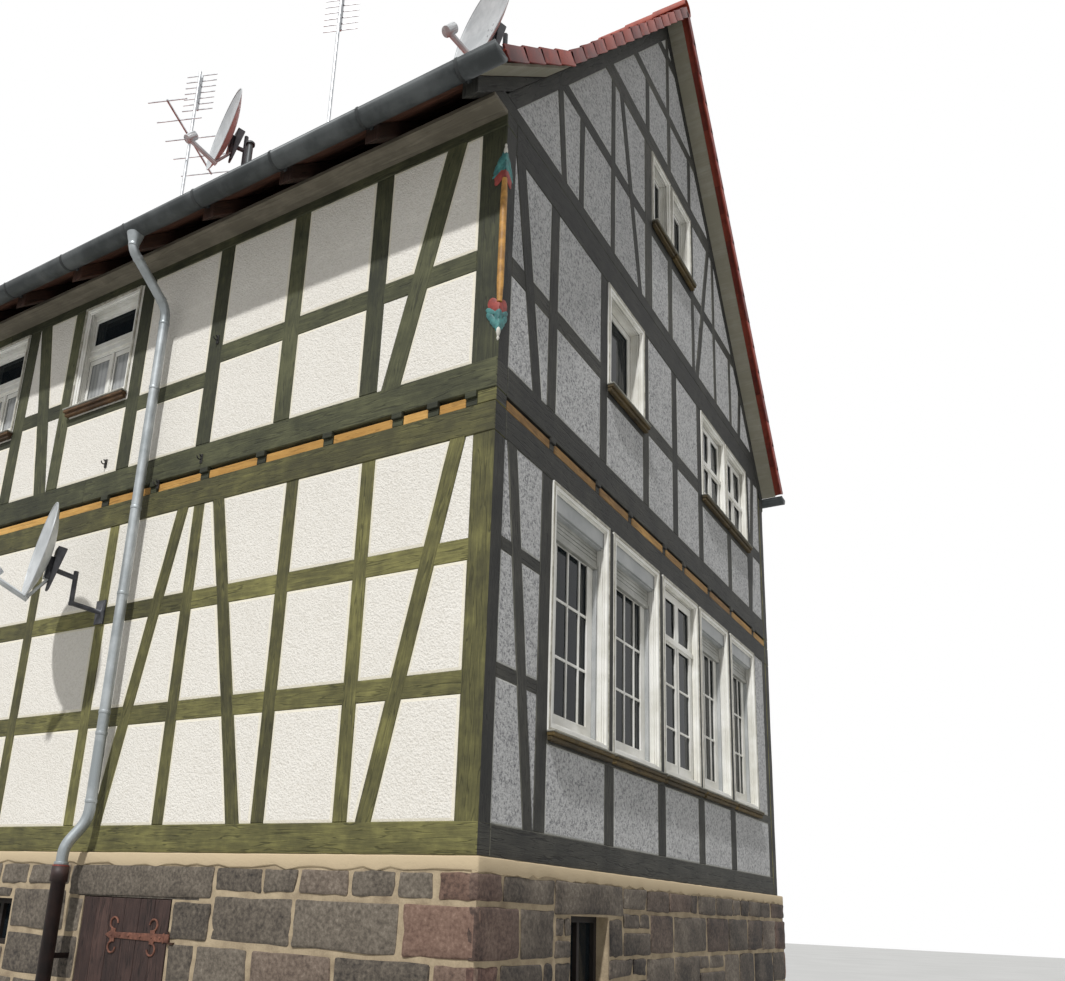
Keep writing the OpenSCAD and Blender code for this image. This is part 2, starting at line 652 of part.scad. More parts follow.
// The slanting pieces are a little slimmer and plug into the upright ones
module downpipe() color(zinc) front_place() {
  plug = pipe_r - 2;
  difference() {
    union() {
      link([pipe_u, gutter_v, neck_high - 25], [pipe_u, gutter_v, neck_high + 60], pipe_r);
      translate([pipe_u, gutter_v, neck_high + 40])
        cylinder(r1 = pipe_r + 2, r2 = pipe_r + 18, h = 105, $fn = 32);
    }
    translate([pipe_u - 100, gutter_v, gutter_z]) rotate([0, 90, 0])
      cylinder(r = gutter_r + lay, h = 200, $fn = 64);
  }
  link([pipe_u, gutter_v, neck_high], [pipe_u, pipe_v, neck_low], plug);
  link([pipe_u, pipe_v, foot_z - 25], [pipe_u, pipe_v, neck_low + 25], pipe_r);
  link([pipe_u, pipe_v, foot_z], [stand_u, stand_v, stand_top + 60], plug);
  link([stand_u, stand_v, stand_top - 5], [stand_u, stand_v, stand_top + 85], pipe_r);
  for (z = clip_z) translate([pipe_u, pipe_v, z]) {
    cylinder(r = pipe_r + 5, h = 30, $fn = 32);
    translate([-10, 0, 0]) cube([20, -pipe_v, 25]);
  }
}
module standpipe() color("saddlebrown") front_place() {
  translate([stand_u, stand_v, 0]) cylinder(r = stand_r, h = stand_top - 5, $fn = 32);
  translate([stand_u, stand_v, stand_top - 125]) cylinder(r = stand_r + 12, h = 120, $fn = 32);
  translate([stand_u - 15, stand_v, stand_top - 700]) cube([30, -stand_v - plinth_proud, 40]);
}

// A window is a white lining through the wall with its sashes set back in it
module ring(u, z, w, h, t) difference() {
  rail(u, u + w, z, h);
  rail(u + t, u + w - t, z + t, h - 2 * t);
}
// How a kind of window is set: depth of its sashes, width of their edge, crossbar and leaves
module sash_bars(w, z, h, kind) {
  ring(w[0] + casing_w, z + casing_w, w[1] - 2 * casing_w, h - 2 * casing_w, kind[1]);
  for (i = [1:1:kind[3] - 1]) post(w[0] + w[1] * i / kind[3], z + casing_w, z + h - casing_w, 1.6 * sash_w);
  if (kind[2] > 0) rail(w[0] + casing_w, w[0] + w[1] - casing_w, z + kind[2], 1.4 * sash_w);
}
module window_frame(w, z, h, kind) {
  upright(-8, wall_t + 8) ring(w[0], z, w[1], h, casing_w);
  upright(kind[0], sash_t) sash_bars(w, z, h, kind);
}
module window_panes(w, z, h, kind) upright(kind[0] + (sash_t - glass_t) / 2, glass_t)
  difference() {
    rail(w[0] + casing_w, w[0] + w[1] - casing_w, z + casing_w, h - 2 * casing_w);
    sash_bars(w, z, h, kind);
  }
long_kind = [sash_back, sash_w, 740, 2];
back_kind = [sash_back, sash_w, 600, 2];
shutter_kind = [deep_sash_back, 2.4 * sash_w, 0, 1];
ground_casement = [shallow_sash_back, 1.9 * sash_w, 1350, 2];
upper_plain = [deep_sash_back, 1.6 * sash_w, 0, 1];
upper_casement = [shallow_sash_back, 1.5 * sash_w, 470, 2];
attic_kind = [sash_back, sash_w, 0, 1];
long_window = [front_window[0], front_window[2]];
long_window_z = front_window[1];
function long_window_h(z_head) = z_head - long_window_z;
module on_both_halves() {
  children();
  translate([house_l, 0, 0]) mirror([1, 0, 0]) children();
}
module each_gable() {
  gable_place() children();
  far_place() children();
}
module long_wall_windows() color(white) {
  front_place() on_both_halves()
    window_frame(long_window, long_window_z, long_window_h(z_plate), long_kind);
  back_place() on_both_halves()
    window_frame(long_window, long_window_z, long_window_h(z_back_top - plate_h), back_kind);
}
shuttered = [0, 1, 3, 4];
ground_window_h = z_rail - ground_window_z;
upper_window_h = z_tie - upper_window_z;
attic_window_h = z_collar - attic_window_z;
module gable_windows() color(white) each_gable() {
  for (i = shuttered) window_frame(gable_ground_windows[i], ground_window_z, ground_window_h, shutter_kind);
  window_frame(gable_ground_windows[2], ground_window_z, ground_window_h, ground_casement);
  window_frame(gable_upper_windows[0], upper_window_z, upper_window_h, upper_plain);
  for (i = [1, 2]) window_frame(gable_upper_windows[i], upper_window_z, upper_window_h, upper_casement);
  for (w = attic_windows) window_frame(w, attic_window_z, attic_window_h, attic_kind);
}
module window_glass() color("lightblue", 0.5) {
  front_place() on_both_halves()
    window_panes(long_window, long_window_z, long_window_h(z_plate), long_kind);
  back_place() on_both_halves()
    window_panes(long_window, long_window_z, long_window_h(z_back_top - plate_h), back_kind);
  each_gable() {
    for (i = shuttered) window_panes(gable_ground_windows[i], ground_window_z, ground_window_h, shutter_kind);
    window_panes(gable_ground_windows[2], ground_window_z, ground_window_h, ground_casement);
    window_panes(gable_upper_windows[0], upper_window_z, upper_window_h, upper_plain);
    for (i = [1, 2]) window_panes(gable_upper_windows[i], upper_window_z, upper_window_h, upper_casement);
    for (w = attic_windows) window_panes(w, attic_window_z, attic_window_h, attic_kind);
  }
}
module sill_board(w, z) translate([w[0] - 15, -sill_out, z - window_sill_h])
  cube([w[1] + 30, sill_out, window_sill_h]);
module window_sills() color(olive) {
  front_place() on_both_halves() sill_board(long_window, long_window_z);
  back_place() on_both_halves() sill_board(long_window, long_window_z);
  each_gable() {
    for (w = gable_ground_windows) sill_board(w, ground_window_z);
    for (w = gable_upper_windows) sill_board(w, upper_window_z);
    for (w = attic_windows) sill_board(w, attic_window_z);
  }
}
module shutter_boxes() color(white) each_gable() for (i = shuttered) {
  w = gable_ground_windows[i];
  translate([w[0] + casing_w, 25, z_rail - casing_w - shutter_box_h])
    cube([w[1] - 2 * casing_w, deep_sash_back - 25, shutter_box_h]);
}
module shutter_slats() color("lightgray") each_gable() for (i = shuttered) {
  w = gable_ground_windows[i];
  translate([w[0] + casing_w, deep_sash_back - 18, z_rail - casing_w - shutter_box_h - shutter_drop])
    cube([w[1] - 2 * casing_w, 14, shutter_drop]);
}

// An offset dish: a shallow bowl, its arm and receiver, and the bracket behind it
dish_r = 440;
dish_t = 8;
dish_focus = 520;
dish_rings = 8;
arm_r = 25;
stay_r = 14;
receiver_r = 45;
receiver_at = [345, 0, 400]; // seen from the middle of the dish, looking along it
function bowl(r) = r * r / (4 * dish_focus);
function ring_r(i) = dish_r * i / dish_rings;
module dish_bowl() rotate_extrude($fn = 48) polygon(concat(
  [for (i = [0:dish_rings]) [ring_r(i), bowl(ring_r(i))]],
  [for (i = [dish_rings:-1:0]) [ring_r(i), bowl(ring_r(i)) + dish_t]]
));
// Drawn looking up, with its foot towards +X, then aimed: turned on the upright, lifted to the sky
module dish_head() {
  foot = [dish_r + arm_r - 8, 0, bowl(dish_r)];
  dish_bowl();
  translate([30, -40, -60]) cube([200, 80, 66]);
  link(foot - [0, 0, 25], receiver_at, arm_r);
  link(foot + [3, 0, 0], [210, 0, -45], stay_r);
  link(receiver_at + [25, 0, 5], receiver_at - [75, 0, 55], receiver_r);
}
dish_turn = -66;
dish_lift = 7;
module aimed(p) translate(p) rotate([0, 0, dish_turn]) rotate([0, 90 - dish_lift, 0]) children();
pole_r = 22;
clamp_at = [-8, 22, -130]; // where the clamp holds the bracket, from the middle of the dish
wall_dish_at = [4147 * front_k, -500, z_rail - 435];
module wall_dish() color("silver") front_place() {
  elbow = [front_ground_posts[3] + 5, -300, wall_dish_at[2] - 400];
  aimed(wall_dish_at) dish_head();
  link([elbow[0], -10, elbow[2]], elbow + [0, -15, 0], pole_r);
  link(elbow - [0, 0, 20], elbow + [0, 0, 290], pole_r - 1);
  link(elbow + [0, 0, 230], wall_dish_at + clamp_at, pole_r);
  translate([front_ground_posts[3] - 60, -14, elbow[2] - 110]) cube([120, 14, 220]);
}
// Cuts what stands on the front slope off at the tiles
module on_roof() difference() {
  children();
  rotate([90, 0, 90]) linear_extrude(house_l) translate([0, lay]) front_cover(roof_t);
}
roof_dish_at = [[410, 330, z_kink + 461], [3676 * front_k, 400, z_kink + 925]];
module roof_dishes() color("silver") front_place() for (p = roof_dish_at) {
  pole = [p[0] - 60, p[1] + 140];
  aimed(p) dish_head();
  on_roof() link([pole[0], pole[1], sprocket_line(pole[1]) + roof_t / 2],
    [pole[0], pole[1], p[2] + 60], pole_r);
  link([pole[0], pole[1], p[2] - 120], p + clamp_at, pole_r);
}
mast_u = [4410 * front_k, 7280 * front_k];
mast_v = 2530;
mast_top = z_crown + 1850;
mast_foot = front_line(mast_v) + roof_t;
mast_turn = -21;
rod_t = 12;
boom_t = 24;
boom_l = 1460;
rod_l = [620, 1040]; // shortest and longest crossing rod
panel_w = 510;
panel_h = 680;
panel_off = 60;
// A boom with its crossing rods, lying flat on the mast
module flat_aerial(n) {
  translate([-boom_t / 2, -boom_l / 2, 0]) cube([boom_t, boom_l, boom_t]);
  for (k = [0:n - 1]) let (w = rod_l[0] + (rod_l[1] - rod_l[0]) * k / (n - 1))
    translate([-w / 2, -boom_l / 2 + rod_t + (boom_l - 3 * rod_t) * k / (n - 1), rod_t / 2])
      cube([w, rod_t, rod_t]);
}
// An upright panel of rods with the post and the arms that hold it to the mast
module panel_aerial(n) {
  translate([-boom_t / 2, panel_off, 0]) cube([boom_t, boom_t, panel_h]);
  for (z = [0.2, 0.7]) translate([-rod_t / 2, 0, z * panel_h]) cube([rod_t, panel_off, boom_t]);
  for (k = [0:n - 1]) translate([-panel_w / 2, panel_off, (panel_h - rod_t) * k / (n - 1)])
    cube([panel_w, rod_t, rod_t]);
}
module on_mast(u, z) translate([u, mast_v, z]) rotate([0, 0, mast_turn]) children();
module aerials() color("gainsboro") front_place() {
  on_roof() for (u = mast_u) link([u, mast_v, mast_foot], [u, mast_v, mast_top], pole_r);
  for (u = mast_u) on_mast(u, mast_top - panel_h) panel_aerial(7);
  on_mast(mast_u[1], mast_top - 1300) flat_aerial(5);
}

plinth_front_right();
plinth_front_left();
plinth_over_door();
door_lintel();
plinth_gable();
plinth_back();
plinth_far();
cellar_floor();
cellar_windows();
cellar_door_frame();
cellar_door();
door_straps();
ground_floor();
upper_floor();
attic_floor();
floor_beams();
ceiling_beams();
fill_boards();
front_frame_ground();
front_frame_upper();
front_infill();
gable_frame_ground();
gable_frame_upper();
gable_frame_attic();
gable_infill();
back_frame();
back_infill();
far_frame();
far_infill();
rafters_front();
rafters_back();
roof_front();
roof_back();
ridge_tiles();
verge_boards();
eaves_board();
gutters();
downpipe();
standpipe();
long_wall_windows();
gable_windows();
window_glass();
window_sills();
shutter_boxes();
shutter_slats();
wall_dish();
roof_dishes();
aerials();
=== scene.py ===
import json
import math
import random

import bmesh
import bpy
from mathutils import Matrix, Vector

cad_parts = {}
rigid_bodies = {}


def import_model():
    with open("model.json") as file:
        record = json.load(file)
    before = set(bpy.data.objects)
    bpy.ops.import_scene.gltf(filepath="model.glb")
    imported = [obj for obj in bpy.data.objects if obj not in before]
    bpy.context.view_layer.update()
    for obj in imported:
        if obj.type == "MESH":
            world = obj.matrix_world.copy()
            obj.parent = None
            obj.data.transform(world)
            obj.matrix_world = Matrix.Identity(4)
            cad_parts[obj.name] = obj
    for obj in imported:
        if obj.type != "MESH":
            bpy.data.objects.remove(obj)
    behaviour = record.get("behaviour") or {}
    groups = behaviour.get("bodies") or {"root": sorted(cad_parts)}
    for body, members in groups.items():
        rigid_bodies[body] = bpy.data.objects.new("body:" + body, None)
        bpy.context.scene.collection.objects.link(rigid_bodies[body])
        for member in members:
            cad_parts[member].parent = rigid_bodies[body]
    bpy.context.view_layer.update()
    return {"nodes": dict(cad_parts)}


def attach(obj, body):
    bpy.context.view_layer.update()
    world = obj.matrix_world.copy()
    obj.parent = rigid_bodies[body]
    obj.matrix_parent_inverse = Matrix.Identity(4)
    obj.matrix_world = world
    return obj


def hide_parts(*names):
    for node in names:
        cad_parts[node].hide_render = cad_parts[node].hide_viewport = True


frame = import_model()
bpy.ops.object.select_all(action="DESELECT")
nodes = frame["nodes"]
scene = bpy.context.scene
print("stage: frame loaded")

# Pitches of the roof; heights and lines of the house in metres, as the frame has them
pitches = {"front": math.radians(50), "eaves": math.radians(42.5), "back": math.radians(53.4)}
house = {
    "length": 11.1, "width": 7.15, "wall": 0.16,
    "sill": 2.0, "ground": 2.215, "rail": 4.932, "band": 5.167, "upperSill": 5.275, "upper": 5.52,
    "plate": 7.56, "top": 7.694, "tie": 7.404, "attic": 7.832, "collar": 9.855, "loft": 10.073,
    "topRail": 10.729, "peak": 10.867, "heel": 7.864, "kinkIn": 0.6, "kink": 8.57905,
    "ridgeIn": 3.62, "apex": 12.17815, "crown": 12.35706, "plateHigh": 0.134,
    "vergeOut": 0.265, "eavesOut": 0.45, "backEaves": 7.2, "rafter": 0.13, "tail": 0.11,
}
slope = {side: math.tan(pitch) for side, pitch in pitches.items()}
halfLength = house["length"] / 2
halfWidth = house["width"] / 2
frontDrop = house["rafter"] / math.cos(pitches["front"])  # rafter depth measured upright
backDrop = house["rafter"] / math.cos(pitches["back"])
eavesDrop = house["tail"] / math.cos(pitches["eaves"])

# Every wall: where u is 0, which way u runs, which way is out
walls = {
    "front": (Vector((halfLength, -halfWidth, 0)), Vector((-1, 0, 0)), Vector((0, -1, 0))),
    "gable": (Vector((halfLength, -halfWidth, 0)), Vector((0, 1, 0)), Vector((1, 0, 0))),
    "back": (Vector((halfLength, halfWidth, 0)), Vector((-1, 0, 0)), Vector((0, 1, 0))),
    "far": (Vector((-halfLength, -halfWidth, 0)), Vector((0, 1, 0)), Vector((-1, 0, 0))),
}


def place(wall, u, out, z):
    origin, along, outward = walls[wall]
    return origin + along * u + outward * out + Vector((0, 0, z))


def frontLine(v):
    return house["heel"] + v * slope["front"]


def eavesLine(v):
    return house["kink"] - (house["kinkIn"] - v) * slope["eaves"]


def backLine(v):
    return house["apex"] - (v - house["ridgeIn"]) * slope["back"]


backPlate = backLine(house["width"] - 0.06) - backDrop - house["plateHigh"]


# Modelling helpers

def activate(piece):
    bpy.ops.object.select_all(action="DESELECT")
    bpy.context.view_layer.objects.active = piece
    piece.select_set(True)


# Works the place, turn and scale of what is selected into its mesh
def settle():
    bpy.ops.object.transform_apply(location=True, rotation=True, scale=True)
    return bpy.context.object


def startEdit(piece):
    activate(piece)
    bpy.ops.object.mode_set(mode="EDIT")


def endEdit():
    bpy.ops.object.mode_set(mode="OBJECT")


# Selects the points, edges or faces that pass the test
def pick(piece, kind, test):
    scene.tool_settings.mesh_select_mode = (kind == "verts", kind == "edges", kind == "faces")
    mesh = bmesh.from_edit_mesh(piece.data)
    bpy.ops.mesh.select_all(action="DESELECT")
    for part in getattr(mesh, kind):
        if test(part):
            part.select_set(True)
    mesh.select_flush_mode()
    bmesh.update_edit_mesh(piece.data)


def faceOutward():
    bpy.ops.mesh.select_all(action="SELECT")
    bpy.ops.mesh.normals_make_consistent(inside=False)


def useModifier(piece, kind, **settings):
    activate(piece)
    modifier = piece.modifiers.new(kind.title(), kind)
    for key, value in settings.items():
        setattr(modifier, key, value)
    bpy.ops.object.modifier_apply(modifier=modifier.name)


def breakEdges(piece, width, angle=50, segments=2, worn=-1):
    useModifier(piece, "BEVEL", width=width, segments=segments, limit_method="ANGLE",
                angle_limit=math.radians(angle), material=worn)


def repeat(piece, count, step):
    useModifier(piece, "ARRAY", use_relative_offset=False, use_constant_offset=True, count=count,
                constant_offset_displace=step)


def roughenFaces(piece, texture, strength):
    useModifier(piece, "DISPLACE", texture=texture, texture_coords="LOCAL", strength=strength, mid_level=0.5)


def smooth(piece, angle=35):
    activate(piece)
    bpy.ops.object.shade_smooth_by_angle(angle=math.radians(angle))


def joinPieces(name, parts):
    bpy.ops.object.select_all(action="DESELECT")
    for part in parts:
        part.select_set(True)
    bpy.context.view_layer.objects.active = parts[0]
    if len(parts) > 1:
        bpy.ops.object.join()
    parts[0].name = name
    return settle()


# Finishes are given by name; the second one goes to the faces that pass the test
def dress(piece, finishes, replaced=(), body="house", second=None):
    piece.data.materials.clear()
    for finish in finishes:
        piece.data.materials.append(bpy.data.materials[finish])
    if second:
        piece.data.polygons.foreach_set("material_index", [int(second(face)) for face in piece.data.polygons])
    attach(piece, body)
    if replaced:
        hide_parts(*replaced)


def assemble(name, parts, finish, replaced=(), angle=35, body="house"):
    piece = joinPieces(name, parts)
    smooth(piece, angle)
    dress(piece, [finish], replaced, body)
    return piece


# A CAD node is loose triangles, so a copy of it is merged
def mergedCopy(nodeName, name, threshold):
    piece = bpy.data.objects.new(name, nodes[nodeName].data.copy())
    scene.collection.objects.link(piece)
    startEdit(piece)
    bpy.ops.mesh.select_all(action="SELECT")
    bpy.ops.mesh.remove_doubles(threshold=threshold)
    return piece


# Box, rod and open ring, each added at its size and place
def addBox(scale, location):
    bpy.ops.mesh.primitive_cube_add(size=1, calc_uvs=False, scale=scale, location=location)
    return settle()


def addRod(radius, depth, location, vertices=24):
    bpy.ops.mesh.primitive_cylinder_add(vertices=vertices, radius=radius, depth=depth, location=location,
                                        calc_uvs=False)
    return settle()


def addOpenRing(radius, rod, segments, rotation, location, cut):
    bpy.ops.mesh.primitive_torus_add(major_segments=segments, minor_segments=8, major_radius=radius,
                                     minor_radius=rod, rotation=rotation, location=location)
    part = settle()
    startEdit(part)
    pick(part, "verts", cut)
    bpy.ops.mesh.delete(type="VERT")
    pick(part, "edges", lambda edge: edge.is_boundary)
    bpy.ops.mesh.edge_face_add()
    endEdit()
    return part


# A block is four corners on a wall (u, z), its depths and the way its grain runs
def quad(wall, corners, depth, axis=(1, 0), warm=0.0):
    return {"wall": wall, "corners": corners, "depth": depth, "axis": axis, "warm": warm}


def level(wall, u0, u1, z, height, depth):
    return quad(wall, [(u0, z), (u1, z), (u1, z + height), (u0, z + height)], depth)


def upright(wall, u, z0, z1, width, depth):
    u0, u1 = u - width / 2, u + width / 2
    return quad(wall, [(u0, z0), (u1, z0), (u1, z1), (u0, z1)], depth, (0, 1))


def slant(wall, head, foot, z0, z1, width, depth):
    side = width / 2
    corners = [(foot - side, z0), (foot + side, z0), (head + side, z1), (head - side, z1)]
    return quad(wall, corners, depth, (head - foot, z1 - z0))


# Four blocks round a box (u0, u1, z0, z1) that is first grown on all sides
def ringBlocks(wall, box, grow, width, depth):
    u0, u1, z0, z1 = box[0] - grow, box[1] + grow, box[2] - grow, box[3] + grow
    half = width / 2
    return [level(wall, u0, u1, z0, width, depth), level(wall, u0, u1, z1 - width, width, depth),
            upright(wall, u0 + half, z0 + width, z1 - width, width, depth),
            upright(wall, u1 - half, z0 + width, z1 - width, width, depth)]


# Every block is a cube whose corners are moved to their places; tone and grain differ from block to block
def makeBlocks(name, blocks, seed=1):
    chance = random.Random(seed)
    bpy.ops.mesh.primitive_cube_add(size=1, calc_uvs=False)
    piece = bpy.context.object
    piece.name = name
    startEdit(piece)
    bpy.ops.mesh.delete(type="VERT")
    scene.tool_settings.mesh_select_mode = (True, False, False)
    for block in blocks:
        wall, outward = block["wall"], walls[block["wall"]][2]
        us = [corner[0] for corner in block["corners"]]
        zs = [corner[1] for corner in block["corners"]]
        low = place(wall, min(us), block["depth"][0], min(zs))
        high = place(wall, max(us), block["depth"][1], max(zs))
        size = [abs(high[i] - low[i]) for i in range(3)]
        bpy.ops.mesh.primitive_cube_add(size=1, calc_uvs=False, location=(low + high) / 2, scale=size)
        box = [(min(us), min(zs)), (max(us), min(zs)), (max(us), max(zs)), (min(us), max(zs))]
        for start, goal in zip(box, block["corners"]):
            spot = place(wall, start[0], 0, start[1])
            shift = place(wall, goal[0], 0, goal[1]) - spot
            if shift.length < 1e-6:
                continue
            mesh = bmesh.from_edit_mesh(piece.data)
            mesh.verts.ensure_lookup_table()
            bpy.ops.mesh.select_all(action="DESELECT")
            for vert in mesh.verts[-8:]:
                gap = vert.co - spot
                if (gap - outward * gap.dot(outward)).length < 1e-4:
                    vert.select_set(True)
            bmesh.update_edit_mesh(piece.data)
            bpy.ops.transform.translate(value=shift)
    endEdit()
    mesh = piece.data
    tone = mesh.attributes.new("tone", "FLOAT", "FACE")
    warm = mesh.attributes.new("warm", "FLOAT", "FACE")
    grain = mesh.uv_layers.new(name="grain")
    for index, block in enumerate(blocks):
        shade = chance.random()
        slide = (chance.random() * 7, chance.random() * 7)
        origin, along, outward = walls[block["wall"]]
        run = (along * block["axis"][0] + Vector((0, 0, block["axis"][1]))).normalized()
        for face in mesh.polygons[index * 6:index * 6 + 6]:
            tone.data[face.index].value = shade
            warm.data[face.index].value = block["warm"]
            way, side = run, face.normal.cross(run)
            if side.length < 0.5:  # end grain
                way, side = outward, face.normal.cross(outward)
            side.normalize()
            for loop in face.loop_indices:
                spot = mesh.vertices[mesh.loops[loop].vertex_index].co
                grain.data[loop].uv = (spot.dot(way) + slide[0], spot.dot(side) + slide[1])
    return piece


hewn = bpy.data.textures.new("hewn", "CLOUDS")
hewn.noise_scale = 0.28
chipped = bpy.data.textures.new("chipped", "CLOUDS")
chipped.noise_scale = 0.09


def cutLongEdges(piece, longest, cuts):
    startEdit(piece)
    pick(piece, "edges", lambda part: part.calc_length() > longest)
    bpy.ops.mesh.subdivide(number_cuts=cuts)
    endEdit()


# Long edges get points to wander with, then the arrises are broken and the faces left hewn
def roughen(piece, cuts, arris, wander=0.0, texture=hewn, worn=-1, segments=1):
    cutLongEdges(piece, 0.45, cuts)
    breakEdges(piece, arris, 50, segments, worn)
    if wander > 0:
        roughenFaces(piece, texture, wander)


# Repeated shapes get one shade each
def markTones(piece, facesEach, seed):
    chance = random.Random(seed)
    count = len(piece.data.polygons)
    shades = [chance.random() for _ in range(count // facesEach + 1)]
    tone = piece.data.attributes.new("tone", "FLOAT", "FACE")
    tone.data.foreach_set("value", [shades[i // facesEach] for i in range(count)])


# Materials

def tint(code):
    channels = [int(code[i:i + 2], 16) / 255 for i in (1, 3, 5)]
    return tuple(c / 12.92 if c <= 0.04045 else ((c + 0.055) / 1.055) ** 2.4 for c in channels) + (1.0,)


def tints(*stops):
    return [(spot, tint(code)) for spot, code in stops]


def addNode(tree, kind, settings=None, links=None):
    node = tree.nodes.new("ShaderNode" + kind)
    for key, value in (settings or {}).items():
        if key == "stops":
            while len(node.color_ramp.elements) < len(value):
                node.color_ramp.elements.new(0.5)
            for element, (spot, colour) in zip(node.color_ramp.elements, value):
                element.position = spot
                element.color = colour if isinstance(colour, tuple) else (colour, colour, colour, 1)
        elif isinstance(key, str) and hasattr(node, key):
            setattr(node, key, value)
        else:
            node.inputs[key].default_value = value
    for key, socket in (links or {}).items():
        tree.links.new(socket, node.inputs[key])
    return node


def newMaterial(name, values):
    material = bpy.data.materials.new(name)
    material.use_nodes = True
    shader = material.node_tree.nodes["Principled BSDF"]
    for socket, value in values.items():
        shader.inputs[socket].default_value = value
    return material.node_tree, shader


def seat(tree, source="Object", scale=(1, 1, 1)):
    if source == "Object":
        spots = addNode(tree, "TexCoord").outputs["Object"]
    else:
        spots = addNode(tree, "UVMap", {"uv_map": source}).outputs["UV"]
    return addNode(tree, "Mapping", {"Scale": scale}, {"Vector": spots}).outputs["Vector"]


# Takes the colour and a relief (strength, distance) to the shader
def connect(tree, shader, colour, height, relief):
    tree.links.new(colour, shader.inputs["Base Color"])
    bump = addNode(tree, "Bump", {"Strength": relief[0], "Distance": relief[1]}, {"Height": height})
    tree.links.new(bump.outputs["Normal"], shader.inputs["Normal"])


# Oil-painted, weathered oak: fibres 2 mm apart are drawn at 6 mm and drying checks of 1 to 2 mm at 4 mm,
# so that they show; streaks of 30 mm run with the grain, faded patches of 300 mm lie over it, and each
# timber has its own shade
def woodFinish(name, light, dark, crack, source="grain", scale=(1.6, 40, 1), cracked=0.6, relief=0.6):
    tree, shader = newMaterial(name, {"Roughness": 0.72, "Specular IOR Level": 0.35})
    spots = seat(tree, source, scale)
    wide = seat(tree, source, tuple(s if s < 2 else s * 0.45 for s in scale))
    fibres = addNode(tree, "TexNoise", {"Scale": 4.0, "Detail": 6.0, "Roughness": 0.65}, {"Vector": spots})
    streaks = addNode(tree, "TexNoise", {"Scale": 1.9, "Detail": 5.0, "Roughness": 0.6}, {"Vector": wide})
    patches = addNode(tree, "TexNoise", {"Scale": 3.2, "Detail": 7.0, "Roughness": 0.65},
                      {"Vector": seat(tree)})
    splits = addNode(tree, "TexNoise", {"Scale": 1.3, "Detail": 2.0, "Distortion": 0.3}, {"Vector": wide})
    tone = addNode(tree, "Attribute", {"attribute_name": "tone"})
    mixed = addNode(tree, "Math", {"operation": "MULTIPLY", 1: 0.3}, {0: fibres.outputs["Fac"]})
    for part, share in ((streaks, 0.4), (patches, 0.55), (tone, 0.2)):
        mixed = addNode(tree, "Math", {"operation": "MULTIPLY_ADD", 1: share},
                        {0: part.outputs["Fac"], 2: mixed.outputs[0]})
    middle = tuple(0.65 * a + 0.35 * b for a, b in zip(tint(dark), tint(light)))
    paint = addNode(tree, "ValToRGB", {"stops": [(0.58, tint(dark)), (0.73, middle), (0.9, tint(light))]},
                    {"Fac": mixed.outputs[0]})
    away = addNode(tree, "Math", {"operation": "SUBTRACT", 1: 0.5}, {0: splits.outputs["Fac"]})
    away = addNode(tree, "Math", {"operation": "ABSOLUTE"}, {0: away.outputs[0]})
    gap = addNode(tree, "ValToRGB", {"stops": [(0.012, 1.0), (0.04, 0.0)]}, {"Fac": away.outputs[0]})
    where = addNode(tree, "ValToRGB", {"stops": [(0.46, 0.0), (0.56, 1.0)]}, {"Fac": streaks.outputs["Fac"]})
    gap = addNode(tree, "Math", {"operation": "MULTIPLY"},
                  {0: gap.outputs["Color"], 1: where.outputs["Color"]})
    amount = addNode(tree, "Math", {"operation": "MULTIPLY", 1: cracked}, {0: gap.outputs[0]})
    colour = addNode(tree, "Mix", {"data_type": "RGBA", 7: tint(crack)},
                     {0: amount.outputs[0], 6: paint.outputs["Color"]})
    height = addNode(tree, "Math", {"operation": "MULTIPLY_ADD", 1: -0.9},
                     {0: gap.outputs[0], 2: fibres.outputs["Fac"]})
    connect(tree, shader, colour.outputs[2], height.outputs[0], (relief, 0.004))


# Lime plaster thrown on with the trowel: grit of 6 to 12 mm stands up in the field, drawn at 12 to 18 mm
def plasterFinish(name, light, dark, grit, speckle, relief):
    tree, shader = newMaterial(name, {"Roughness": 0.9})
    spots = {"Vector": seat(tree)}
    pebbles = addNode(tree, "TexVoronoi", {"Scale": 1 / grit, "Randomness": 1.0}, spots)
    dusting = addNode(tree, "TexNoise", {"Scale": 1 / (grit * 1.25), "Detail": 4.0, "Roughness": 0.75}, spots)
    clouds = addNode(tree, "TexNoise", {"Scale": 1.3, "Detail": 5.0, "Roughness": 0.6}, spots)
    hollows = addNode(tree, "ValToRGB", {"stops": [(0.38, 1.0), (0.53, 0.0)]},
                      {"Fac": dusting.outputs["Fac"]})
    shade = addNode(tree, "Math", {"operation": "MULTIPLY", 1: speckle}, {0: hollows.outputs["Color"]})
    shade = addNode(tree, "Math", {"operation": "MULTIPLY_ADD", 1: 0.35, "use_clamp": True},
                    {0: clouds.outputs["Fac"], 2: shade.outputs[0]})
    colour = addNode(tree, "Mix", {"data_type": "RGBA", 6: tint(light), 7: tint(dark)}, {0: shade.outputs[0]})
    height = addNode(tree, "Math", {"operation": "MULTIPLY_ADD", 1: -0.6},
                     {0: pebbles.outputs["Distance"], 2: dusting.outputs["Fac"]})
    connect(tree, shader, colour.outputs[2], height.outputs[0], (relief, 0.008))


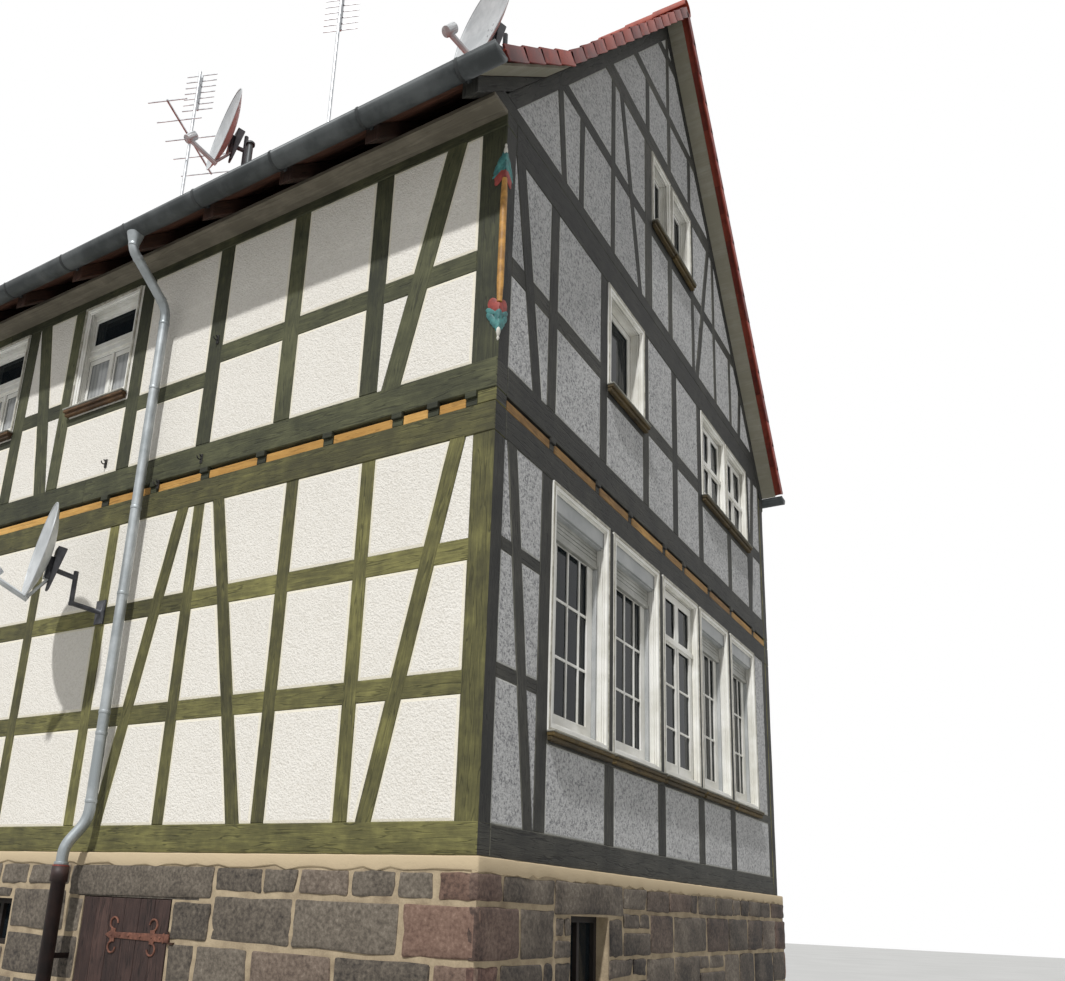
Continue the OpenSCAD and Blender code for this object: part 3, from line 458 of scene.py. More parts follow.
# Anything quarried, mixed or fired: a base shade for each block, mottling in two sizes (metres) and a grain
# in relief; warm blocks take the second run of colours
def grainyFinish(name, stops, warmStops, mottle, grain, speck, relief, rough, patchy=1.0, each=0.5, sink=0.0):
    tree, shader = newMaterial(name, {"Roughness": rough})
    spots = {"Vector": seat(tree)}
    tone = addNode(tree, "Attribute", {"attribute_name": "tone"})
    warm = addNode(tree, "Attribute", {"attribute_name": "warm"})
    broad = addNode(tree, "TexNoise", {"Scale": 1 / mottle, "Detail": 5.0}, spots)
    fine = addNode(tree, "TexNoise", {"Scale": 1 / grain, "Detail": 6.0, "Roughness": 0.7}, spots)
    mixed = addNode(tree, "Math", {"operation": "MULTIPLY_ADD", 1: patchy, 2: 0.5 - 0.5 * patchy - sink},
                    {0: broad.outputs["Fac"]})
    for part, share in ((tone, each), (fine, speck)):
        mixed = addNode(tree, "Math", {"operation": "MULTIPLY_ADD", 1: share},
                        {0: part.outputs["Fac"], 2: mixed.outputs[0]})
    cold = addNode(tree, "ValToRGB", {"stops": tints(*stops)}, {"Fac": mixed.outputs[0]})
    hot = addNode(tree, "ValToRGB", {"stops": tints(*warmStops)}, {"Fac": mixed.outputs[0]})
    colour = addNode(tree, "Mix", {"data_type": "RGBA"},
                     {0: warm.outputs["Fac"], 6: cold.outputs["Color"], 7: hot.outputs["Color"]})
    connect(tree, shader, colour.outputs[2], fine.outputs["Fac"], relief)


# Sheet, cast or forged metal, hard plastic and paint: a skin with soft blotches and a fine relief
def skinFinish(name, light, dark, blotch, rough, metallic, relief, grain):
    tree, shader = newMaterial(name, {"Metallic": metallic})
    spots = {"Vector": seat(tree)}
    broad = addNode(tree, "TexNoise", {"Scale": 1 / blotch, "Detail": 6.0, "Roughness": 0.6}, spots)
    fine = addNode(tree, "TexNoise", {"Scale": 1 / grain, "Detail": 3.0}, spots)
    colour = addNode(tree, "ValToRGB", {"stops": tints((0.4, dark), (0.65, light))},
                     {"Fac": broad.outputs["Fac"]})
    spread = addNode(tree, "Math", {"operation": "MULTIPLY_ADD", 1: 0.2, 2: rough - 0.1},
                     {0: broad.outputs["Fac"]})
    tree.links.new(spread.outputs[0], shader.inputs["Roughness"])
    connect(tree, shader, colour.outputs["Color"], fine.outputs["Fac"], (relief, 0.002))


# Oak in oil paint, olive on the long walls and near black on the gables, with bare grey at worn arrises
woodFinish("oliveOak", "#878350", "#44422b", "#1b1b0d")
woodFinish("greyOliveOak", "#5d5e43", "#2b2d20", "#141510")
woodFinish("darkOak", "#45443e", "#1b1b19", "#0d0d0c", relief=0.9, cracked=0.85)
woodFinish("wornOak", "#6c6b61", "#343430", "#22221d")
woodFinish("headOak", "#4c4f38", "#25271c", "#0d0e0a")
# Oiled or tarred oak and spruce: brown rafters, planks and beams whose checks stay open
woodFinish("brownOak", "#4d3226", "#2b1b14", "#0e0806")
woodFinish("doorOak", "#54403a", "#2b201e", "#0e0908", relief=0.9, cracked=0.8)
woodFinish("tarredOak", "#352c27", "#1c1714", "#0b0908", "Object", (9, 9, 1.2))
woodFinish("beamOak", "#5a3c2a", "#39251a", "#150d08", "Object", (9, 1.2, 9))
woodFinish("reddishOak", "#75583b", "#3f3021", "#1b120d")
woodFinish("goldenOak", "#6a5832", "#352d1c", "#15110a")
woodFinish("sillGrey", "#b3b1a6", "#605f57", "#22221d", cracked=0.3)
# Boards: ochre paint in the band, bare greyed spruce at verge and eaves, sawn spruce for floors and deck
woodFinish("ochreBoard", "#dcae65", "#ad8040", "#4a3216", cracked=0.3)
woodFinish("dullOchre", "#c0975a", "#6f5330", "#2c2013", cracked=0.5)
woodFinish("paleSpruce", "#b5b1a6", "#94907f", "#5b5548", "Object", (0.6, 14, 14), 0.1)
# The eaves board's spruce is a darker copy of the verge's: painted shade under the eaves
woodFinish("eavesSpruce", "#a39c8b", "#6d675a", "#3a352c", "Object", (0.6, 14, 14), 0.2)
woodFinish("deckSpruce", "#6b4636", "#452a20", "#1c0f0a", "Object", (0.6, 14, 14))
woodFinish("floorSpruce", "#a5855c", "#7f6341", "#3c2b18", "Object", (1.2, 9, 9))
# Trowelled lime wash, warm white; on the gable a grey pebble dash that looks speckled
plasterFinish("limePlaster", "#f4f0e8", "#d6d0c4", 0.016, 0.4, 0.9)
plasterFinish("creamBorder", "#efe9d9", "#ddd5bf", 0.016, 0.2, 0.4)
plasterFinish("pebbleDash", "#d4d4d3", "#7c7c7f", 0.018, 0.85, 1.0)
plasterFinish("paleBorder", "#cfcfcb", "#94948f", 0.012, 0.5, 0.6)
# Basalt tuff and sandstone, pick dressed: grey brown, some red, darker and patchier on the gable
stoneRelief = (1.0, 0.004)
grainyFinish("basaltBlock", [(0.32, "#332e2a"), (0.52, "#5f574d"), (0.68, "#7a7165"), (0.84, "#9c9284")],
             [(0.32, "#40302a"), (0.52, "#70574b"), (0.68, "#876d5f"), (0.84, "#a38c7c")],
             0.12, 0.03, 0.8, stoneRelief, 0.9, 0.3, 0.16, 0.45)
grainyFinish("smokedBlock", [(0.32, "#1c1816"), (0.54, "#534b43"), (0.7, "#70675c"), (0.86, "#958b7e")],
             [(0.32, "#241815"), (0.54, "#604840"), (0.7, "#7c6357"), (0.86, "#9c8575")],
             0.3, 0.03, 0.8, stoneRelief, 0.9, 0.7, 0.16, 0.45)
# Lime and sand mortar, matt and sandy
grainyFinish("limeMortar", [(0.45, "#857560"), (0.75, "#ad9c81"), (1.0, "#c2b092")],
             [(0.45, "#857560"), (1.0, "#c2b092")], 0.15, 0.014, 0.45, stoneRelief, 0.95)
grainyFinish("filletMortar", [(0.75, "#7d6a4f"), (1.0, "#b39d7b"), (1.3, "#c7b494")],
             [(0.75, "#7d6a4f"), (1.3, "#c7b494")], 0.3, 0.025, 0.9, stoneRelief, 0.95, 0.9)
# Fired clay, brick red and dull, each tile a shade of its own
grainyFinish("firedClay", [(0.4, "#66261c"), (0.85, "#8c3725"), (1.3, "#a34630")],
             [(0.5, "#4c1f1c"), (1.2, "#7a2c22")], 0.12, 0.006, 0.3, (0.35, 0.002), 0.6)
grainyFinish("vergeClay", [(0.5, "#471512"), (0.85, "#7a281d"), (1.2, "#963a28")],
             [(0.5, "#4c1f1c"), (1.2, "#7a2c22")], 0.12, 0.006, 0.3, (0.35, 0.002), 0.5)

# Light, dark, blotch size, roughness, metallic, relief, grain size
skins = {
    "paintedWood": ("#f2f1ec", "#dddbd2", 0.35, 0.42, 0.0, 0.12, 0.01),  # white gloss on joinery
    "agedPaint": ("#c4c1b5", "#8f8b7d", 0.08, 0.6, 0.0, 0.3, 0.01),
    "zincSheet": ("#b3b8ba", "#92989a", 0.3, 0.45, 0.55, 0.06, 0.01),  # rolled titanium zinc
    "weatheredZinc": ("#5c6061", "#3c4041", 0.35, 0.5, 0.3, 0.1, 0.01),
    # gutter straps: the gutter's zinc, darker as painted shade
    "strapZinc": ("#484b4c", "#2f3233", 0.2, 0.5, 0.3, 0.1, 0.006),
    "castIron": ("#382420", "#1e1311", 0.12, 0.55, 0.1, 0.3, 0.006),  # tarred brown
    "rustedIron": ("#875a48", "#573529", 0.06, 0.8, 0.0, 0.6, 0.005),
    "darkIron": ("#3a3836", "#1f1e1d", 0.03, 0.7, 0.2, 0.3, 0.005),
    "bracketSteel": ("#55565a", "#3b3c40", 0.1, 0.5, 0.3, 0.2, 0.006),
    "boxMetal": ("#b5b7b6", "#9b9e9e", 0.4, 0.45, 0.0, 0.1, 0.008),  # coated aluminium
    "greyPlastic": ("#b4b4ae", "#96968f", 0.3, 0.5, 0.0, 0.1, 0.008),  # extruded PVC
    # dark strip round each sash: the rubber seal, darkened as painted shade of the gap
    "sashRubber": ("#5b5b58", "#3d3d3b", 0.2, 0.7, 0.0, 0.2, 0.004),
    "redSeal": ("#8a3a2f", "#5f2720", 0.05, 0.6, 0.0, 0.3, 0.006),
    "paintedSteel": ("#d0d3d4", "#b2b6b8", 0.2, 0.38, 0.0, 0.08, 0.01),  # powder coat, faintly dusty
    "drawnAluminium": ("#c4c6c8", "#9fa2a5", 0.1, 0.35, 0.9, 0.1, 0.01),
    "staffOchre": ("#c9964c", "#9a6f37", 0.06, 0.6, 0.0, 0.3, 0.008),  # brushed oil paints
    "staffRed": ("#a2463d", "#7d322d", 0.05, 0.6, 0.0, 0.3, 0.008),
    "staffTeal": ("#4d8b87", "#2d5f60", 0.05, 0.6, 0.0, 0.3, 0.008),
    "staffWhite": ("#e8e6de", "#c9c6bb", 0.05, 0.6, 0.0, 0.3, 0.008),
}
for name, values in skins.items():
    skinFinish(name, *values)

# Float glass hung in old sashes, slightly wavy; its near-black base at 0.9 alpha is painted shade of the
# unlit rooms behind it
tree, shader = newMaterial("windowGlass", {"Base Color": tint("#1b2125"), "Roughness": 0.03, "IOR": 1.28,
                                           "Alpha": 0.9, "Specular IOR Level": 0.3})
waves = addNode(tree, "TexNoise", {"Scale": 2.2, "Detail": 2.0}, {"Vector": seat(tree)})
bump = addNode(tree, "Bump", {"Strength": 0.08, "Distance": 0.01}, {"Height": waves.outputs["Fac"]})
tree.links.new(bump.outputs["Normal"], shader.inputs["Normal"])
# Lower panes with a pale woven net behind them: folds of 60 mm hang down
tree, shader = newMaterial("nettedGlass", {"Roughness": 0.08})
folds = addNode(tree, "TexWave", {"Scale": 5.0, "Distortion": 2.5, "Detail": 3.0},
                {"Vector": seat(tree, "Object", (1, 1, 0.15))})
mesh = addNode(tree, "TexNoise", {"Scale": 60.0, "Detail": 3.0}, {"Vector": seat(tree)})
blend = addNode(tree, "Math", {"operation": "MULTIPLY_ADD", 1: 0.6},
                {0: mesh.outputs["Fac"], 2: folds.outputs["Fac"]})
net = addNode(tree, "ValToRGB", {"stops": tints((0.0, "#868889"), (1.0, "#a3a5a4"))},
              {"Fac": blend.outputs[0]})
tree.links.new(net.outputs["Color"], shader.inputs["Base Color"])

nodeFinish = {
    "limeMortar": ["plinth_front_right", "plinth_front_left", "plinth_over_door", "plinth_gable",
                   "plinth_back", "plinth_far", "cellar_floor"],
    "basaltBlock": ["door_lintel"],
    "floorSpruce": ["ground_floor", "upper_floor", "attic_floor"],
    "beamOak": ["ceiling_beams", "cellar_door_frame", "rafters_front", "rafters_back"],
    "tarredOak": ["cellar_windows"],
    "oliveOak": ["floor_beams", "front_frame_ground", "front_frame_upper", "back_frame", "window_sills"],
    "darkOak": ["gable_frame_ground", "gable_frame_upper", "gable_frame_attic", "far_frame"],
    "ochreBoard": ["fill_boards"],
    "limePlaster": ["front_infill", "back_infill", "gable_infill", "far_infill"],
    "firedClay": ["roof_front", "roof_back", "ridge_tiles"],
    "paleSpruce": ["verge_boards"], "eavesSpruce": ["eaves_board"],
    "weatheredZinc": ["gutters"], "zincSheet": ["downpipe"], "castIron": ["standpipe"],
    "rustedIron": ["door_straps"], "doorOak": ["cellar_door"],
    "paintedWood": ["long_wall_windows", "gable_windows", "shutter_boxes"],
    "greyPlastic": ["shutter_slats"], "windowGlass": ["window_glass"],
    "paintedSteel": ["wall_dish", "roof_dishes"], "drawnAluminium": ["aerials"],
}
for finishName, nodeNames in nodeFinish.items():
    for nodeName in nodeNames:
        for materialSlot in nodes[nodeName].material_slots:
            materialSlot.material = bpy.data.materials[finishName]
print("stage: materials")

# Timber frames, member by member; sills stand foremost, then braces, posts and mid rails
timber = {"arris": 0.007, "wander": 0.007, "cuts": 10, "tenon": 0.03, "bite": 0.07,
          "sill": 0.0, "brace": -0.0015, "post": -0.003, "rail": -0.0045, "apron": -0.004}
sillDepth, braceDepth, postDepth, railDepth, apronDepth = [
    (-house["wall"], timber[kind]) for kind in ("sill", "brace", "post", "rail", "apron")]
beamHeads = [0.207, 0.54, 0.867, 1.547, 2.266, 2.933, 3.577, 4.255, 5.0]
allHeads = beamHeads + [house["length"] - u for u in reversed(beamHeads)]
stubHeads = [0.88, 1.74, 2.46, 3.335, 3.9, 4.727, 5.543, 6.463]
frontWindow = {"u": 4.198, "z": 6.37, "w": 0.874}
longLights = (frontWindow["u"], house["length"] - frontWindow["u"] - frontWindow["w"])
groundWindows = [(0.91, 1.08), (2.07, 1.105), (3.265, 1.048), (4.37, 1.0), (5.46, 0.992)]
upperWindows = [(1.932, 0.886), (4.566, 0.9), (5.497, 0.863)]
atticWindows = [(3.07, 0.575), (3.68, 0.644)]
groundWindowZ = house["ground"] + 0.74
upperWindowZ = house["upper"] + 0.81
atticWindowZ = house["attic"] + 1.103
# Middle and width of what stands between two ground windows
between = [((a + w + b) / 2, b - a - w) for (a, w), (b, _) in zip(groundWindows, groundWindows[1:])]


def posts(wall, us, z0, z1, width, depth=postDepth):
    return [upright(wall, u, z0, z1, width, depth) for u in us]


def rails(wall, spans, z, height, depth=railDepth):
    return [level(wall, a, b, z, height, depth) for a, b in spans]


def braces(wall, leans, z0, z1, width):
    return [slant(wall, head, foot, z0 - timber["tenon"], z1 + timber["tenon"], width, braceDepth)
            for head, foot in leans]


def mirrored(block):
    flipped = [(house["length"] - u, z) for u, z in block["corners"]]
    corners = [flipped[1], flipped[0], flipped[3], flipped[2]]
    return quad(block["wall"], corners, block["depth"], (-block["axis"][0], block["axis"][1]))


longLow = {"corner": 0.18, "posts": [1.115, 1.885, 2.95, 4.05, 5.1], "post": 0.13,
           "braces": [(0.305, 0.914), (2.722, 2.13), (3.15, 3.7)], "brace": 0.135,
           "rises": (0.825, 1.765), "rail": 0.165, "lap": 0.02, "sillJoint": 5.1, "railJoint": 6.2}


def longGround(wall):
    z0, z1, length = house["ground"], house["rail"], house["length"]
    half = posts(wall, [longLow["corner"] / 2], house["sill"], z1, longLow["corner"])
    half += posts(wall, longLow["posts"], z0, z1, longLow["post"])
    half += braces(wall, longLow["braces"], z0, z1, longLow["brace"])
    both = half + [mirrored(block) for block in half]
    ends, lap = [longLow["corner"]] + longLow["posts"], longLow["lap"]
    spans = list(zip(ends, ends[1:])) + [(ends[-1], length - ends[-1])]
    spans += [(length - b, length - a) for a, b in zip(ends, ends[1:])]
    both += [level(wall, a - lap, b + lap, z0 + rise, longLow["rail"], railDepth)
             for a, b in spans for rise in longLow["rises"]]
    for joint, low, high in ((longLow["sillJoint"], house["sill"], z0),
                             (longLow["railJoint"], z1, house["band"])):
        both += rails(wall, [(0, joint), (joint, length)], low, high - low, sillDepth)
    high = house["upperSill"] - house["band"]
    corner = level(wall, 0, house["wall"] - 0.0005, house["band"], high, railDepth)
    return both + [corner, mirrored(corner)]


# Each rail is its rise and height
longHigh = {"corner": 0.225, "posts": [1.18, 2.09, 3.015, 4.09, 5.155], "post": 0.18, "brace": 0.185,
            "rails": (0.792, 0.185), "lowRail": (0.585, 0.165), "middleRail": (0.82, 0.165),
            "sillRail": (-0.175, 0.09), "cornerBrace": (0.46, 0.96), "lean": 0.21,
            "sillJoint": 4.6, "plateJoint": 6.4}


def longUpper(wall, zHead):
    z0, length, us, wide = house["upper"], house["length"], longHigh["posts"], longHigh["corner"]
    half = posts(wall, [wide / 2], house["upperSill"], zHead, wide)
    half += posts(wall, us, z0, zHead, longHigh["post"])
    for spans, z, (rise, high) in (([(wide, us[0]), us[0:2], us[1:3]], z0, longHigh["rails"]),
                                   ([us[2:4]], z0, longHigh["lowRail"]),
                                   ([us[3:5]], frontWindow["z"], longHigh["sillRail"])):
        half += rails(wall, spans, z + rise, high)
    half += braces(wall, [longHigh["cornerBrace"]], z0, zHead, longHigh["brace"])
    both = half + [mirrored(block) for block in half]
    rise, high = longHigh["middleRail"]
    both += rails(wall, [(us[4], length - us[4])], z0 + rise, high)
    lean = (length / 2 + longHigh["lean"], length / 2 - longHigh["lean"])
    both += braces(wall, [lean], z0, zHead, longHigh["brace"])
    for joint, low, high in ((longHigh["sillJoint"], house["upperSill"], z0),
                             (longHigh["plateJoint"], zHead, zHead + house["plateHigh"])):
        both += rails(wall, [(0, joint), (joint, length)], low, high - low, sillDepth)
    return both


# The gables run from corner post to corner post of the long walls; posts are place and width, braces head,
# foot and width
gable = {"from": 0.16, "to": 6.99, "groundPost": (0.825, 0.17), "groundCorner": (6.9275, 0.125),
         "groundBrace": (0.265, 0.665, 0.14), "groundRises": (0.965, 1.875), "groundRail": (0.74, 0.105),
         "under": 0.1, "stud": 0.19, "upperEnd": 6.985,
         "upperBraces": ((0.24, 0.62, 0.15), (6.7, 6.44, 0.13)),
         "upperPosts": (0.855, 1.857, 2.87, 3.695, 4.51), "upperPost": 0.15, "upperRail": (0.78, 0.17),
         "lastRail": 6.5, "underWindow": (5.577, 0.15), "besideWindow": (5.4815, 0.031),
         "upperCorner": ((6.43, 0.14), (6.9625, 0.055)), "upperSill": 0.13,
         "upperSills": ((1.932, 2.795), (4.585, 6.36))}


def gableGround(wall):
    z0, z1, u0, u1 = house["ground"], house["rail"], gable["from"], gable["to"]
    under = groundWindowZ - gable["under"]
    members = rails(wall, [(u0, u1)], house["sill"], z0 - house["sill"], sillDepth)
    members += rails(wall, [(u0, u1)], z1, house["band"] - z1, sillDepth)
    u, width = gable["groundPost"]
    members += posts(wall, [u], z0, z1, width)
    head, foot, width = gable["groundBrace"]
    members += braces(wall, [(head, foot)], z0, z1, width)
    end, high = gable["groundRail"]
    for rise in gable["groundRises"]:
        members += rails(wall, [(u0, end)], z0 + rise, high)
    for u, width in between:
        members += posts(wall, [u], z0, z1, width) + posts(wall, [u], z0, under, gable["stud"], apronDepth)
    members += rails(wall, [(groundWindows[0][0], u1)], under, gable["under"], braceDepth)
    u, width = gable["groundCorner"]
    return members + posts(wall, [u], z0, z1, width)


def gableUpper(wall):
    z0, z1, u0, u1 = house["upper"], house["tie"], gable["from"], gable["to"]
    sill, top = upperWindowZ - gable["upperSill"], house["top"]
    rise, high = gable["upperRail"]
    members = rails(wall, [(u0, u1)], house["upperSill"], z0 - house["upperSill"], sillDepth)
    members.append(quad(wall, [(u0, z1), (gable["upperEnd"], z1), (underBack(top), top), (u0, top)],
                        sillDepth))
    for head, foot, width in gable["upperBraces"]:
        members += braces(wall, [(head, foot)], z0, z1, width)
    members += posts(wall, gable["upperPosts"], z0, z1, gable["upperPost"])
    for (u, width), low, end in ((gable["underWindow"], z0, sill), (gable["besideWindow"], sill, z1),
                                 (gable["upperCorner"][0], z0, z1), (gable["upperCorner"][1], z0, z1)):
        members += posts(wall, [u], low, end, width)
    a, b, c, d, e = gable["upperPosts"]
    members += rails(wall, [(u0, a), (a, b), (c, d), (d, e), (gable["lastRail"], u1)], z0 + rise, high)
    return members + rails(wall, gable["upperSills"], sill, gable["upperSill"], braceDepth)


def underFront(z):
    return (z - house["heel"] + frontDrop) / slope["front"]


def underBack(z):
    return house["ridgeIn"] + (house["apex"] - backDrop - z) / slope["back"]


def underRoof(v):
    return min(frontLine(v) - frontDrop, backLine(v) - backDrop)


# Posts reach the collar, short ones the rail, and the one under the windows their sill
attic = {"rail": (0.918, 0.15),
         "posts": [(2.04, 0.1), (4.374, 0.1), (5.175, 0.1), (2.972, 0.196), (3.662, 0.036)],
         "underWindow": (3.6, 0.1), "shortPosts": ((1.34, 0.1), (5.8, 0.1)), "past": 0.02,
         "braces": [(2.25, 2.74), (5.0, 4.49)], "shortBraces": [(0.88, 1.0), (6.28, 6.15)], "brace": 0.11,
         "collar": 0.218, "topRail": 0.138, "peak": (0.36, 0.13), "loftPosts": (2.97, 3.64, 4.33),
         "loftPost": 0.11, "peakPost": 0.1}


def gableAttic(wall):
    z0, z1, (rise, railHigh) = house["attic"], house["collar"], attic["rail"]
    railZ = z0 + rise
    top, bite = house["top"], timber["bite"]  # the ends reach into the rafters
    noseLow, noseHigh = [(z - eavesLine(0) + eavesDrop) / slope["eaves"] for z in (top, z0)]
    members = [quad(wall, [(noseLow, top), (underBack(top), top), (underBack(z0), z0), (noseHigh, z0)],
                    sillDepth)]
    for z, high in ((z1, attic["collar"]), (house["topRail"], attic["topRail"]),
                    (house["apex"] - frontDrop - attic["peak"][0], attic["peak"][1])):
        members.append(quad(wall, [(underFront(z) - bite, z), (underBack(z) + bite, z),
                                   (underBack(z + high) + bite, z + high),
                                   (underFront(z + high) - bite, z + high)],
                            sillDepth))
    stops = [underFront(railZ) - attic["past"], *sorted(u for u, _ in attic["posts"]),
             underBack(railZ) + attic["past"]]
    members += rails(wall, zip(stops, stops[1:]), railZ, railHigh)
    for studs, head in ((attic["posts"], z1), ([attic["underWindow"]], atticWindowZ),
                        (attic["shortPosts"], railZ)):
        for u, width in studs:
            members += posts(wall, [u], z0, min(head, underRoof(u) + bite), width)
    leans = [(*lean, z1) for lean in attic["braces"]] + [(*lean, railZ) for lean in attic["shortBraces"]]
    for head, foot, end in leans:
        reach = min(end + timber["tenon"], underRoof(head) + bite)
        lean = foot + (head - foot) * (reach - z0) / (end - z0)
        members.append(slant(wall, lean, foot, z0 - timber["tenon"], reach, attic["brace"], braceDepth))
    members += posts(wall, attic["loftPosts"], house["loft"], house["topRail"], attic["loftPost"])
    middle = house["ridgeIn"]
    return members + posts(wall, [middle], house["peak"], underRoof(middle) + bite, attic["peakPost"])


# Finishes: the faces, the arrises and what the long walls show on the gables
oaks = {"olive": ("oliveOak", "oliveOak", "darkOak"), "grey": ("greyOliveOak", "greyOliveOak", "darkOak"),
        "gable": ("darkOak", "wornOak", "darkOak")}
for name, blocks, oak, replaced, seed in [
    ("frontTimberGround", longGround("front"), "olive", "front_frame_ground", 3),
    ("frontTimberUpper", longUpper("front", house["plate"]), "grey", "front_frame_upper", 4),
    ("backTimber", longGround("back") + longUpper("back", backPlate), "olive", "back_frame", 5),
    ("gableTimberGround", gableGround("gable"), "gable", "gable_frame_ground", 6),
    ("gableTimberUpper", gableUpper("gable"), "gable", "gable_frame_upper", 7),
    ("gableTimberAttic", gableAttic("gable"), "gable", "gable_frame_attic", 8),
    ("farTimber", gableGround("far") + gableUpper("far") + gableAttic("far"), "gable", "far_frame", 9),
]:
    piece, finishes, onLong = makeBlocks(name, blocks, seed), oaks[oak], oak != "gable"
    piece.data.materials.append(bpy.data.materials[finishes[0]])
    piece.data.materials.append(bpy.data.materials[finishes[1]])
    roughen(piece, timber["cuts"], timber["arris"], timber["wander"], worn=1)
    indices = [face.material_index for face in piece.data.polygons]
    for face in piece.data.polygons:
        if onLong and abs(face.normal.x) > 0.75 and abs(face.center.x) > halfLength - 0.02:
            indices[face.index] = 2
    dress(piece, finishes, [replaced])
    piece.data.polygons.foreach_set("material_index", indices)
print("stage: timber frames")

# Rafters, beam heads and the boards between them; each pair of rafters has a tail that flattens the eaves
rafter = {"count": 13, "wide": 0.14, "tail": 0.44, "backFoot": 7.19, "thinner": 0.001}
step = (house["length"] - rafter["wide"]) / (rafter["count"] - 1)
z0, ridgeIn, apex = house["attic"], house["ridgeIn"], house["apex"]
nose, foot = -rafter["tail"], rafter["backFoot"]
meet = (eavesLine(0) - eavesDrop - house["heel"]) / (slope["front"] - slope["eaves"])
rafterSides = [
    ("front", 1, 0, [(underFront(z0), z0), (ridgeIn, apex - frontDrop), (ridgeIn, apex),
                     ((z0 - house["heel"]) / slope["front"], z0)]),
    ("eaves", 1, rafter["thinner"], [(nose, eavesLine(nose) - eavesDrop), (meet, frontLine(meet)),
                                     (house["kinkIn"], house["kink"]), (nose, eavesLine(nose))]),
    ("back", -1, 0, [(ridgeIn, apex - backDrop), (foot, backLine(foot) - backDrop), (foot, backLine(foot)),
                     (ridgeIn, apex)]),
]
rafterBlocks = []
for i in range(rafter["count"]):
    for side, way, thinner, corners in rafterSides:
        depth = (-i * step - rafter["wide"] + thinner, -i * step - thinner)
        rafterBlocks.append(quad("gable", corners, depth, (1, way * slope[side])))
rafters = makeBlocks("rafters", rafterBlocks, 11)
roughen(rafters, 6, 0.006)
dress(rafters, ("brownOak", "darkOak"), ["rafters_front", "rafters_back"],
      second=lambda face: abs(face.center.x) > halfLength - 0.15)

# Heads step back below a nose; the boards between them leave a gap on top, where a dark brown strip behind
# them paints the shadow
band = {"nose": 0.015, "noseHigh": 0.05, "under": -0.004, "half": 0.0475, "stub": 0.036, "stubBack": -0.1595,
        "board": 0.078, "boardBack": -0.05, "gap": 0.004, "front": -0.012, "gable": -0.004,
        "ends": (0.124, 7.026), "backing": (-0.065, -0.051)}
noseZ, bandHigh = house["upperSill"] - band["noseHigh"], house["upperSill"] - house["band"]
heads = []
for u in allHeads:
    depth = (-u - band["half"], -u + band["half"])
    for out, z0, z1 in ((band["nose"], noseZ, house["upperSill"]), (band["under"], house["band"], noseZ)):
        v = house["width"] + out
        heads.append(quad("gable", [(-out, z0), (v, z0), (v, z1), (-out, z1)], depth))
for wall in ("gable", "far"):
    for u in stubHeads:
        for z, high, out in ((noseZ, band["noseHigh"], band["nose"]),
                             (house["band"], noseZ - house["band"], band["under"])):
            heads.append(level(wall, u - band["stub"], u + band["stub"], z, high, (band["stubBack"], out)))
beamPieces = makeBlocks("beamHeads", heads, 12)
roughen(beamPieces, 4, 0.006, segments=2)
dress(beamPieces, ("headOak", "darkOak"), ["floor_beams"],
      second=lambda face: abs(face.center.x) > halfLength - 0.157 and abs(face.center.y) < halfWidth)

boards, shadeBackings = [], []
shortHeads = [band["ends"][0]] + stubHeads + [band["ends"][1]]
sides = [(wall, allHeads, band["half"], band["front"]) for wall in ("front", "back")]
sides += [(wall, shortHeads, band["stub"], band["gable"]) for wall in ("gable", "far")]
for wall, ends, half, out in sides:
    for a, b in zip(ends, ends[1:]):
        boards.append(level(wall, a + half + band["gap"], b - half - band["gap"], house["band"],
                            band["board"], (band["boardBack"], out)))
        shadeBackings.append(level(wall, a + half, b - half, house["band"], bandHigh, band["backing"]))
fillPieces = makeBlocks("fillBoards", boards, 13)
roughen(fillPieces, 3, 0.004)
dress(fillPieces, ("ochreBoard", "dullOchre"), ["fill_boards"],
      second=lambda face: abs(face.center.x) > halfLength - 0.06 and abs(face.center.y) < halfWidth - 0.1)
# The strip behind the boards is painted shadow: dark brown where the overhang of the upper sill casts shade
shadeBackingPiece = makeBlocks("bandShadeBacking", shadeBackings, 14)
roughen(shadeBackingPiece, 1, 0.002)
dress(shadeBackingPiece, ["brownOak"])
print("stage: rafters, heads, boards")

# Plaster panels: a smooth border left round a rough field; narrow and needle-tipped panels have no border
panel = {"border": {"front": 0.03, "back": 0.03, "gable": 0.018, "far": 0.018}, "bulge": 0.004,
         "narrow": 0.07, "needle": math.radians(14), "stub": 0.06, "least": 0.05}


def makePanels(nodeName, name, wall, finishes):
    piece = mergedCopy(nodeName, name, 0.0003)
    bpy.ops.mesh.dissolve_limited(angle_limit=math.radians(2))
    outward = walls[wall][2]

    def isField(face):
        if face.normal.dot(outward) < 0.9 or 2 * face.calc_area() / face.calc_perimeter() <= panel["narrow"]:
            return False
        return (min(loop.calc_angle() for loop in face.loops) >= panel["needle"]
                and min(edge.calc_length() for edge in face.edges) >= panel["stub"])

    pick(piece, "faces", isField)
    bpy.ops.mesh.inset(thickness=panel["border"][wall], depth=panel["bulge"], use_individual=True,
                       use_even_offset=False)
    fields = {face.index for face in bmesh.from_edit_mesh(piece.data).faces if face.select}
    bpy.ops.mesh.select_more()
    bordered = {face.index for face in bmesh.from_edit_mesh(piece.data).faces if face.select}
    endEdit()
    dress(piece, finishes, [nodeName], second=lambda face: face.index in fields or (
        face.index not in bordered and face.normal.dot(outward) > 0.9 and face.area > panel["least"]))


for wall, finishes in (("front", ("creamBorder", "limePlaster")), ("back", ("creamBorder", "limePlaster")),
                       ("gable", ("paleBorder", "pebbleDash")), ("far", ("paleBorder", "pebbleDash"))):
    makePanels(wall + "_infill", wall + "Panels", wall, finishes)
print("stage: panels")

